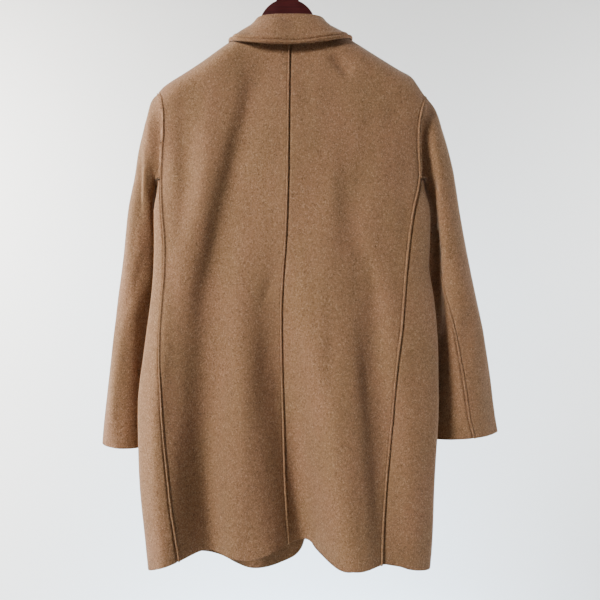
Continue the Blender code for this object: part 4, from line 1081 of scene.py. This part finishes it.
def sleeve_half(part, side, cloth):
    """Upper or under sleeve: the upper one laps over the under one at the back seam."""
    points, places = sleeve_rings(side, cloth)
    length = places[-1]
    near = EDGE_COLUMNS["tucked"]
    down = np.concatenate((near, np.linspace(SLEEVE_FIRST_ROW, length - SLEEVE_LAST_ROW,
                                             int(length / SLEEVE_ROW)), length - CUFF_ROWS))
    weights = Line(places, np.eye(len(places)))(down)

    def placed(turn):
        return np.einsum("rk,krcx->rcx", weights, points(turn))

    ring_share = np.interp(down, places, np.linspace(0, 1, len(places)))
    back, front = (SEAM_DEGREES[side, name](ring_share)[:, None] for name in ("back", "front"))
    low, high = (front - 360, back) if part == "upper" else (back, front)
    per_degree = []
    for degrees, step in ((low, 1.0), (high, -1.0)):
        pair = placed(degrees + np.array((0.0, step)))
        per_degree.append(np.linalg.norm(pair[:, 1] - pair[:, 0], axis=-1)[:, None])
    start, end = EDGE_COLUMNS["tucked"], EDGE_COLUMNS["lapped"][::-1]
    inner = np.linspace(0, 1, SLEEVE_COLUMNS + 1)[1:-1]
    first = low + np.array(start)[None, :] / per_degree[0]
    last = high - np.array(end)[None, :] / per_degree[1]
    between = first[:, -1:] + (last[:, :1] - first[:, -1:]) * inner[None, :]
    turn = np.concatenate((first, between, last), axis=1)
    base = placed(turn)
    ring_middle = (placed(np.full((len(down), 1), 0.0)) + placed(np.full((len(down), 1), 180.0))) / 2
    normals = grid_normals(base, base - ring_middle)
    distance = np.concatenate((start, np.full(len(inner), NO_EDGE), end))
    at_end = np.arange(len(distance)) >= len(start) + len(inner)
    lift = np.where(at_end, edge_lift("lapped", distance, cloth.seam_height),
                    edge_lift("tucked", distance, cloth.seam_height))
    settle = soft_step(down / SLEEVE_SETTLE)[:, None]
    relief = sleeve_relief(side, turn, down[:, None]) * settle * cloth.crease_depth
    formed = base + normals * relief[..., None]
    normals = grid_normals(formed, formed - ring_middle)
    at_armhole = edge_lift("tucked", down, cloth.seam_height)[:, None]
    below = soft_step((down - SLEEVE_SEAM_SHOWS) / 0.06)[:, None]
    shown_lift = lift[None, :] * (FLAT_SEAM + (1 - FLAT_SEAM) * below)
    raised = formed + normals * (shown_lift + at_armhole)[..., None]
    thick = np.where(at_end & (distance < LAP_EDGE), LAP_EDGE_THICKNESS, cloth.thickness)
    thick = thick[None, :] + np.maximum(-at_armhole, 0)
    inside = formed - normals * thick[..., None]
    item = shell(f"{part}_sleeve_{side}_cloth", raised, inside, finish_for("wool_melange"),
                 bulge=0.20)
    shown = slice(int(np.searchsorted(down, SLEEVE_STITCHES_START)), -3)
    return item, [stitched(raised[shown], normals[shown], distance, at_end, LAP_STITCH)]


def neckline_point(along, side):
    """Point of the neckline's uncreased cloth, from 0 at the centre back to 1 at a front end."""
    x = np.array(NECK_X + sign_of(side) * NECK_HALF * math.sin(math.pi * min(along, 0.985)))
    face = "back" if along <= 0.5 else "front"
    return face_point(face, x, neck_height(face, x), 0.0)


def collar_profile(along, side):
    """Outside of the collar from the stand's seam over the roll to the free edge."""
    sign = sign_of(side)
    seam = neckline_point(along, side)
    to_neck = unit(np.array((NECK_X - seam[0], RIDGE_Y - seam[1], 0.0)))
    seam = seam + to_neck * STAND_INSET + UP * STAND_LIFT
    roll = np.array([COLLAR_LINE[f"roll_{axis}"](along) for axis in "xyz"])
    edge = np.array([COLLAR_LINE[f"edge_{axis}"](along) for axis in "xyz"])
    climb = COLLAR_TILT * edge[0] if side == "right" else 0.0
    roll = roll * (sign, 1, 1) + (NECK_X, 0, 0)
    edge = edge * (sign, 1, 1) + (NECK_X, 0, climb)
    outward = unit(np.array((edge[0] - roll[0], edge[1] - roll[1], 0.0)))
    centre = roll - outward * ROLL_RADIUS - UP * ROLL_RADIUS
    inside = centre - outward * ROLL_RADIUS
    stand = seam + (inside - seam) * np.linspace(0, 0.88, 8)[:, None]
    turns = np.radians(np.linspace(0, 165, 12))[:, None]
    bend = centre - outward * ROLL_RADIUS * np.cos(turns) + UP * ROLL_RADIUS * np.sin(turns)
    start = centre + outward * ROLL_RADIUS
    length = np.linalg.norm(edge - start)
    near = np.array(EDGE_COLUMNS["turned"])[::-1] / length
    shares = np.concatenate((np.linspace(0, 1 - near[0], 22)[:-1], 1 - near))[:, None]
    belly = np.sin(np.pi * shares)
    over_shoulder = math.exp(-((along - OVER_SHOULDER) / 0.13) ** 2)
    kick = FALL_KICK * soft_step((shares - 0.62) / 0.38) * (1 - over_shoulder)
    fall = (start + (edge - start) * shares + outward * (FALL_BELLY * belly + kick)
            + UP * FALL_ARCH[side] * belly * over_shoulder)
    distance = np.concatenate((np.full(len(stand) + len(bend), NO_EDGE),
                               (1 - shares[:, 0]) * length))
    return np.concatenate((stand, bend, fall)), distance


def collar(cloth):
    """Stand and fall in one folded wall, stitched round its free edge."""
    rows, distances = [], []
    ends = 1 - np.array((0.0, 0.004, 0.009, 0.015))
    steps = np.concatenate((np.linspace(0, 0.98, COLLAR_STEPS), ends[::-1]))
    for place in np.concatenate((-steps[:0:-1], steps)):
        profile, distance = collar_profile(abs(place), "left" if place >= 0 else "right")
        rows.append(profile)
        distances.append(distance)
    outer, distance = np.array(rows), np.array(distances)
    normals = unit(np.cross(np.gradient(outer, axis=0), np.gradient(outer, axis=1)))
    run = run_along(outer[:, -1])
    from_end = np.minimum(run, run[-1] - run)[:, None]
    fall = distance < NO_EDGE - 0.001
    near = np.where(fall, np.minimum(distance, from_end), NO_EDGE)
    lift = edge_lift("turned", near, cloth.seam_height * COLLAR_LIFT)
    padded = COLLAR_PADDING * np.exp(-((near - 0.0125) / 0.0040) ** 2) * fall * cloth.seam_height
    soft = padded + 0.00055 * np.sin(run[:, None] * 61.0) * np.sin(distance * 58.0 + 0.6) * fall
    wave = ripple(run[:, None], distance, RIPPLE_SEEDS["collar"], 0.00050)
    wave = cloth.crease_depth * (wave + soft) * fall
    raised = outer + normals * (lift + wave)[..., None]
    inner = outer - normals * cloth.thickness
    item = shell("collar_cloth", raised, inner, finish_for("wool_melange"), bulge=0.30)
    place = int(np.argmin(np.abs(distance[len(outer) // 2] - TURNED_STITCH)))
    return item, [(raised[4:-4, place], normals[4:-4, place])]


def sew(name, sewn, trim):
    """One object with every stitch of a group of seams."""
    parts = []
    for path, outward in sewn:
        parts += stitches(path, outward, trim.stitch_length, trim.stitch_pitch)
    seat(joined(name, parts, finish_for("thread")))


# ---------------------------------------------------------------- buttons and buttonholes

BUTTON_HEIGHTS = (-0.300, -0.425, -0.550, -0.675)
HOLE_INSET = 0.00155      # from a button's centre to a hole's, on each axis
HOLE_RADIUS = 0.00085
BUTTONHOLE_LENGTH = 0.027
BUTTONHOLE_INSET = 0.017
BUTTON_RIM = 0.0011       # radius of the rim's rounding
BUTTON_SIDES = 64
THREAD_RADIUS = 0.00030
THREAD_PITCH = 0.00062    # between the threads of a buttonhole


def button(index):
    """Four-hole horn button with a raised rim and a dished middle, facing forwards."""
    low, high = (np.array(corner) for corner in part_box(f"button_{index}"))
    middle = (low + high) / 2
    radius, thick = (high[0] - low[0]) / 2, high[1] - low[1]
    reaches = np.concatenate((np.arange(0.0, 0.0036, 0.00028), np.linspace(0.0040, 0.0090, 9),
                              np.linspace(0.0096, radius - BUTTON_RIM, 6)))
    share = reaches / radius
    dish = 0.00085 * (1 - soft_step((share - 0.60) / 0.16)) + 0.0002 * soft_step((share - 0.86) / 0.1)
    edge = np.radians(np.linspace(15, 90, 6))
    reaches = np.concatenate((reaches, radius - BUTTON_RIM + BUTTON_RIM * np.sin(edge)))
    dish = np.concatenate((dish, 0.0002 + BUTTON_RIM * (1 - np.cos(edge))))
    turns = np.linspace(0, math.tau, BUTTON_SIDES, endpoint=False)
    x = reaches[:, None] * np.cos(turns)
    z = reaches[:, None] * np.sin(turns)
    to_hole = np.hypot(np.abs(x) - HOLE_INSET, np.abs(z) - HOLE_INSET)
    pit = 0.0019 * soft_step((HOLE_RADIUS + 0.0002 - to_hole) / 0.0004)
    front = point(x, low[1] - middle[1] + dish[:, None] + pit, z)
    back_reach = np.array((radius, radius - 0.0010, radius * 0.5, 0.0005))
    back_y = np.array((thick / 2 - 0.0012, thick / 2, thick / 2, thick / 2))
    back = point(back_reach[:, None] * np.cos(turns), back_y[:, None],
                 back_reach[:, None] * np.sin(turns))
    front[0, :, 0], front[0, :, 2] = front[1, :, 0] * 0.01, front[1, :, 2] * 0.01
    grid = np.concatenate((front, back)) + middle
    item = link(f"horn_button_{index}", grid.reshape(-1, 3), ring_faces(len(grid), BUTTON_SIDES),
                finish_for("polished_horn"))
    seat(item, f"button_{index}")
    return middle, low[1]


def button_thread(middle, front_y):
    """Thread that crosses a button's dished middle in two upright pairs."""
    parts = []
    for x in (-HOLE_INSET, HOLE_INSET):
        for beside in (-0.00028, 0.00028):
            shares = np.linspace(-1, 1, 9)
            path = point(np.full(9, middle[0] + x + beside),
                         front_y + 0.00055 + 0.0013 * np.abs(shares) ** 4,
                         middle[2] + shares * HOLE_INSET)
            parts.append(tube(path, THREAD_RADIUS, 8))
    return parts


def buttonhole(z, cloth):
    """Two close rows of thread along a slit in the right front."""
    end = float(CENTRE_X["front"](z)) - FRONT_EDGE_GAP / 2 - BUTTONHOLE_INSET
    parts = []
    for x in np.arange(end - BUTTONHOLE_LENGTH, end, THREAD_PITCH):
        for way in (-1, 1):
            reach = np.array((0.0001, 0.0008, 0.0016, 0.0023)) * way
            base = face_point("front", np.full(4, x), z + reach, cloth.crease_depth)
            base[:, 1] -= np.array((0.0000, 0.00055, 0.00055, -0.0002))
            parts.append(tube(base, THREAD_RADIUS, 5))
    return parts


# ---------------------------------------------------------------- the hanger

HALF_THICKNESS = 0.008
HANGER_END = 0.208
ARM_UNDER_RIDGE = 0.0050
NECK_DIP = 0.012
CREST_TOP_Z = -0.081
CREST_HALF = 0.0195
CREST_EASE = 0.0016       # radius of the crest's corners
DOME_RADIUS = 0.050
DOME_CENTRE_Z = -0.1445
ARM_DEPTH_CENTRE = 0.044
ARM_DEPTH_END = 0.026
EASED = 0.0026            # radius of the hanger's long edges
HOOK_RADIUS = 0.019       # middle of the wire
WIRE = 0.0019             # half of the wire's thickness
FERRULE_HEIGHT = 0.006
FERRULE_RADIUS = 0.0055
FERRULE_SIDES = 48
WIRE_SIDES = 20
EASE_STEPS = 6


def hanger_top(x):
    """Top line of the hanger: crest, dome and arms, with the crest's corners eased."""
    reach = np.abs(x)
    arm = SHOULDER_TOP(x) - ARM_UNDER_RIDGE - NECK_DIP * (1 - soft_step((reach - 0.070) / 0.030))
    inside = np.maximum(DOME_RADIUS ** 2 - reach ** 2, 0.0)
    dome = np.maximum(DOME_CENTRE_Z + np.sqrt(inside), arm)
    past = np.clip(reach - (CREST_HALF - CREST_EASE), 0.0, CREST_EASE)
    crest = CREST_TOP_Z - CREST_EASE + np.sqrt(np.maximum(CREST_EASE ** 2 - past ** 2, 0.0))
    return np.where(reach <= CREST_HALF, crest, np.where(reach < DOME_RADIUS, dome, arm))


def hanger_wood():
    """Shaped arms, dome and crest, lofted through upright sections with eased edges."""
    half = np.unique(np.concatenate((
        np.linspace(0, 0.0175, 8), np.linspace(0.0180, CREST_HALF, 9), (0.0197, 0.0200, 0.0204),
        np.linspace(0.022, 0.046, 22), np.linspace(0.0465, DOME_RADIUS, 10),
        np.linspace(0.051, 0.190, 60), np.linspace(0.192, HANGER_END, 16))))
    x = np.concatenate((-half[:0:-1], half))
    share = np.abs(x) / HANGER_END
    depth = ARM_DEPTH_CENTRE + (ARM_DEPTH_END - ARM_DEPTH_CENTRE) * share
    rounding = soft_step((share - 0.93) / 0.07)
    top = hanger_top(x) - rounding * 0.006
    bottom = SHOULDER_TOP(x) - ARM_UNDER_RIDGE - depth + rounding * 0.006
    thick = HALF_THICKNESS - rounding * 0.003
    turns = np.radians(np.linspace(90, 0, EASE_STEPS))
    arc_y, arc_z = EASED * (1 - np.sin(turns)), EASED * (1 - np.cos(turns))
    corners = []
    for up, out, way in ((True, 1, 1), (True, -1, -1), (False, -1, 1), (False, 1, -1)):
        for y, z in zip(arc_y[::way], arc_z[::way]):
            corners.append(point(x, out * (thick - y), top - z if up else bottom + z))
    rings = np.stack(corners, axis=1)
    item = link("wooden_hanger", rings.reshape(-1, 3), ring_faces(*rings.shape[:2]),
                finish_for("lacquered_mahogany"))
    item.data.set_sharp_from_angle(angle=math.radians(50))
    seat(item, "hanger_body")


def hanger_wire():
    """The hook: a shank that leans out and turns over into a round eye with a blunt tip."""
    centre_z = -(HOOK_RADIUS - WIRE)
    foot = CREST_TOP_Z + FERRULE_HEIGHT + 0.0006
    points = [(0, 0, foot), (0, 0, foot + 0.008), (0, 0, foot + 0.016), (0.0015, 0, foot + 0.023),
              (0.0055, 0, foot + 0.0300), (0.0105, 0, foot + 0.0370)]
    for degrees in range(-40, 206, 15):
        turn = math.radians(degrees)
        points.append((HOOK_RADIUS * math.cos(turn), 0, centre_z + HOOK_RADIUS * math.sin(turn)))
    points = np.array(points, float)
    run = run_along(points)
    places = np.concatenate((np.linspace(0, run[-1] - 0.0016, 150),
                             run[-1] - np.array((0.0011, 0.0006, 0.0002, 0.0))))
    radii = np.full(len(places), WIRE)
    radii[-4:] = WIRE * np.array((0.93, 0.76, 0.48, 0.20))
    item = joined("hook_wire", [tube(Line(run, points)(places), radii, WIRE_SIDES)],
                  finish_for("polished_steel"))
    seat(item, "hanger_hook")


def hanger_socket():
    """Turned steel collar that the hook's shank stands in, with a groove below its lip."""
    foot = CREST_TOP_Z + 0.0003
    profile = np.array(((0.0004, 0.0), (0.0054, 0.0), (FERRULE_RADIUS, 0.0004), (0.0054, 0.0012),
                        (0.0050, 0.0016), (0.0050, 0.0021), (0.0052, 0.0026), (0.0048, 0.0042),
                        (0.0042, 0.0056), (0.0038, 0.0060), (0.0004, 0.0060)))
    turns = np.linspace(0, math.tau, FERRULE_SIDES, endpoint=False)
    grid = point(profile[:, :1] * np.cos(turns), profile[:, :1] * np.sin(turns),
                 foot + profile[:, 1:])
    item = link("hook_socket", grid.reshape(-1, 3), ring_faces(len(profile), FERRULE_SIDES),
                finish_for("polished_steel"))
    item.data.set_sharp_from_angle(angle=math.radians(35))
    seat(item, "hanger_ferrule")


# ---------------------------------------------------------------- the stage

FLOOR_Z = -1.72
SWEEP_Y = -2.35
SWEEP_RADIUS = 1.1
SWEEP_NEAR_Y = 6.0
SWEEP_TOP_Z = 4.5
SWEEP_HALF = 8.0
CAMERA_PLACE = (-0.0219, 1.06, -0.624)
CAMERA_ANGLE = 2 * math.atan(0.5)

# The key's narrow spread, in degrees, keeps its light off the floor and the backdrop.
Lamp = namedtuple("Lamp", "name place aim size spread power share colour")
LAMPS = table(Lamp, (
    ("key", (3.15, 2.85, 1.05), (-0.16, 0.0, -0.64), 1.2, 34.0, "key_power", 1.00,
     (1.0, 0.975, 0.94)),
    ("backdrop", (2.7, -0.55, 0.2), (0.594, -2.4, -0.5), 1.4, 180.0, "backdrop_power", 1.40,
     (1.0, 0.965, 0.905)),
    ("backdrop", (-2.7, -0.55, 0.2), (-0.594, -2.4, -0.5), 1.4, 180.0, "backdrop_power", 0.52,
     (0.985, 0.99, 0.97)),
    ("backdrop_low", (0.0, -0.75, -1.0), (0.0, -2.2, -1.75), 1.2, 180.0, "backdrop_power", 0.24,
     (0.42, 0.70, 1.0)),
    ("fill_right", (-2.4, 1.9, -0.2), (0.0, 0.0, -0.60), 1.8, 180.0, "fill_power", 1.00,
     (0.95, 0.98, 1.0)),
))


def sweep(settings):
    """Pale floor that curves up into a backdrop behind the coat's front."""
    profile = [(SWEEP_NEAR_Y, FLOOR_Z), (0.0, FLOOR_Z), (SWEEP_Y + SWEEP_RADIUS, FLOOR_Z)]
    for degrees in range(6, 91, 6):
        turn = math.radians(degrees)
        profile.append((SWEEP_Y + SWEEP_RADIUS * (1 - math.sin(turn)),
                        FLOOR_Z + SWEEP_RADIUS * (1 - math.cos(turn))))
    profile.append((SWEEP_Y, SWEEP_TOP_Z))
    profile = np.array(profile)
    x = np.array((-SWEEP_HALF, SWEEP_HALF))
    grid = point(x[None, :], profile[:, :1], profile[:, 1:])
    faces = [(2 * row, 2 * row + 1, 2 * row + 3, 2 * row + 2) for row in range(len(profile) - 1)]
    paper = Finish("pale_paper", Roughness=0.9, Specular_IOR_Level=0.1)
    tooth = paper.noise((60, 60, 60), detail=3.0)
    shade = tuple(channel * 0.985 for channel in settings.floor)
    paper.use(Base_Color=paper.mix(tooth, settings.floor, shade), Normal=paper.bump(tooth, 0.0003))
    link("pale_sweep", grid.reshape(-1, 3), faces, paper.material)


def area_light(lamp, settings):
    """A square light that faces its aim and doesn't show itself to the camera."""
    light = bpy.data.lights.new(lamp.name, "AREA")
    light.size, light.color = lamp.size, lamp.colour
    light.energy = getattr(settings, lamp.power) * lamp.share
    light.spread = math.radians(lamp.spread)
    item = bpy.data.objects.new(lamp.name, light)
    bpy.context.scene.collection.objects.link(item)
    item.location = lamp.place
    item.rotation_euler = (Vector(lamp.aim) - Vector(lamp.place)).to_track_quat("-Z", "Y").to_euler()
    item.visible_camera = False


def room(scene, settings):
    """Faint even light all round."""
    world = bpy.data.worlds.new("pale_room")
    world.use_nodes = True
    background = world.node_tree.nodes["Background"]
    background.inputs["Color"].default_value = (1.0, 1.0, 1.0, 1.0)
    background.inputs["Strength"].default_value = settings.surround
    scene.world = world


def photo_camera(scene):
    """Camera at the photograph's place, level and square to the coat's back."""
    camera = bpy.data.cameras.new("photo_camera")
    camera.angle = CAMERA_ANGLE
    camera.clip_start = 0.02
    item = bpy.data.objects.new("photo_camera", camera)
    scene.collection.objects.link(item)
    item.location = CAMERA_PLACE
    item.rotation_euler = (math.radians(90), 0.0, math.radians(180))
    scene.camera = item


# ---------------------------------------------------------------- operators and their panel

class COAT_OT_hanger(bpy.types.Operator):
    """Shape the wooden hanger, its steel socket and its hook."""
    bl_idname = "coat.hanger"
    bl_label = "Hanger"

    def execute(self, context):
        hanger_wood()
        hanger_socket()
        hanger_wire()
        return {"FINISHED"}


class COAT_OT_body(bpy.types.Operator):
    """Cut and sew the back, front and side panels."""
    bl_idname = "coat.body"
    bl_label = "Body panels"

    def execute(self, context):
        cloth, sewn = context.scene.coat_cloth, []
        for side in ("left", "right"):
            for face in ("back", "front"):
                item, seams = body_panel(face, side, cloth)
                declare(item, f"{face}_{side}")
                sewn += seams
            declare(side_panel(side, cloth), f"side_{side}")
        sew("body_stitching", sewn, context.scene.coat_trim)
        return {"FINISHED"}


class COAT_OT_sleeves(bpy.types.Operator):
    """Cut and sew both halves of each sleeve."""
    bl_idname = "coat.sleeves"
    bl_label = "Sleeves"

    def execute(self, context):
        cloth, sewn = context.scene.coat_cloth, []
        for side in ("left", "right"):
            for part in ("upper", "under"):
                item, seams = sleeve_half(part, side, cloth)
                declare(item, f"{part}_sleeve_{side}")
                if part == "upper":
                    sewn += seams
        sew("sleeve_stitching", sewn, context.scene.coat_trim)
        return {"FINISHED"}


class COAT_OT_collar(bpy.types.Operator):
    """Fold the collar round the neck and stitch its edge."""
    bl_idname = "coat.collar"
    bl_label = "Collar"

    def execute(self, context):
        item, sewn = collar(context.scene.coat_cloth)
        declare(item, "collar")
        sew("collar_stitching", sewn, context.scene.coat_trim)
        return {"FINISHED"}


class COAT_OT_buttons(bpy.types.Operator):
    """Turn the horn buttons, sew them on and work the buttonholes."""
    bl_idname = "coat.buttons"
    bl_label = "Buttons and buttonholes"

    def execute(self, context):
        parts, holes = [], []
        for index, height in enumerate(BUTTON_HEIGHTS, start=1):
            parts += button_thread(*button(index))
            holes += buttonhole(height, context.scene.coat_cloth)
        for name, made in (("button_thread", parts), ("buttonhole_thread", holes)):
            seat(joined(name, made, finish_for("thread")))
        return {"FINISHED"}


class COAT_OT_stage(bpy.types.Operator):
    """Set up the pale floor, the lights and the camera."""
    bl_idname = "coat.stage"
    bl_label = "Stage"

    def execute(self, context):
        scene, settings = context.scene, context.scene.coat_stage
        sweep(settings)
        for lamp in LAMPS:
            area_light(lamp, settings)
        room(scene, settings)
        photo_camera(scene)
        return {"FINISHED"}


OPERATORS = (COAT_OT_hanger, COAT_OT_body, COAT_OT_sleeves, COAT_OT_collar, COAT_OT_buttons,
             COAT_OT_stage)


class COAT_PT_sidebar(bpy.types.Panel):
    """Lists the coat's pieces and its settings."""
    bl_idname = "COAT_PT_sidebar"
    bl_label = "Topcoat"
    bl_space_type = "VIEW_3D"
    bl_region_type = "UI"
    bl_category = "Topcoat"

    def draw(self, context):
        for operator in OPERATORS:
            self.layout.operator(operator.bl_idname)
        for group in ("coat_cloth", "coat_trim", "coat_hanger", "coat_stage"):
            settings = getattr(context.scene, group)
            box = self.layout.box()
            for name in settings.__annotations__:
                box.prop(settings, name)


SETTINGS = {"coat_cloth": ClothSettings, "coat_trim": TrimSettings,
            "coat_hanger": HangerSettings, "coat_stage": StageSettings}


def register():
    for group in (*SETTINGS.values(), *OPERATORS, COAT_PT_sidebar):
        bpy.utils.register_class(group)
    for name, group in SETTINGS.items():
        setattr(bpy.types.Scene, name, PointerProperty(type=group))


def unregister():
    for name in SETTINGS:
        delattr(bpy.types.Scene, name)
    for group in reversed((*SETTINGS.values(), *OPERATORS, COAT_PT_sidebar)):
        bpy.utils.unregister_class(group)


def main():
    register()
    bpy.ops.coat.hanger()
    bpy.ops.coat.body()
    bpy.ops.coat.sleeves()
    bpy.ops.coat.collar()
    bpy.ops.coat.buttons()
    bpy.ops.coat.stage()


if __name__ == "__main__":
    main()
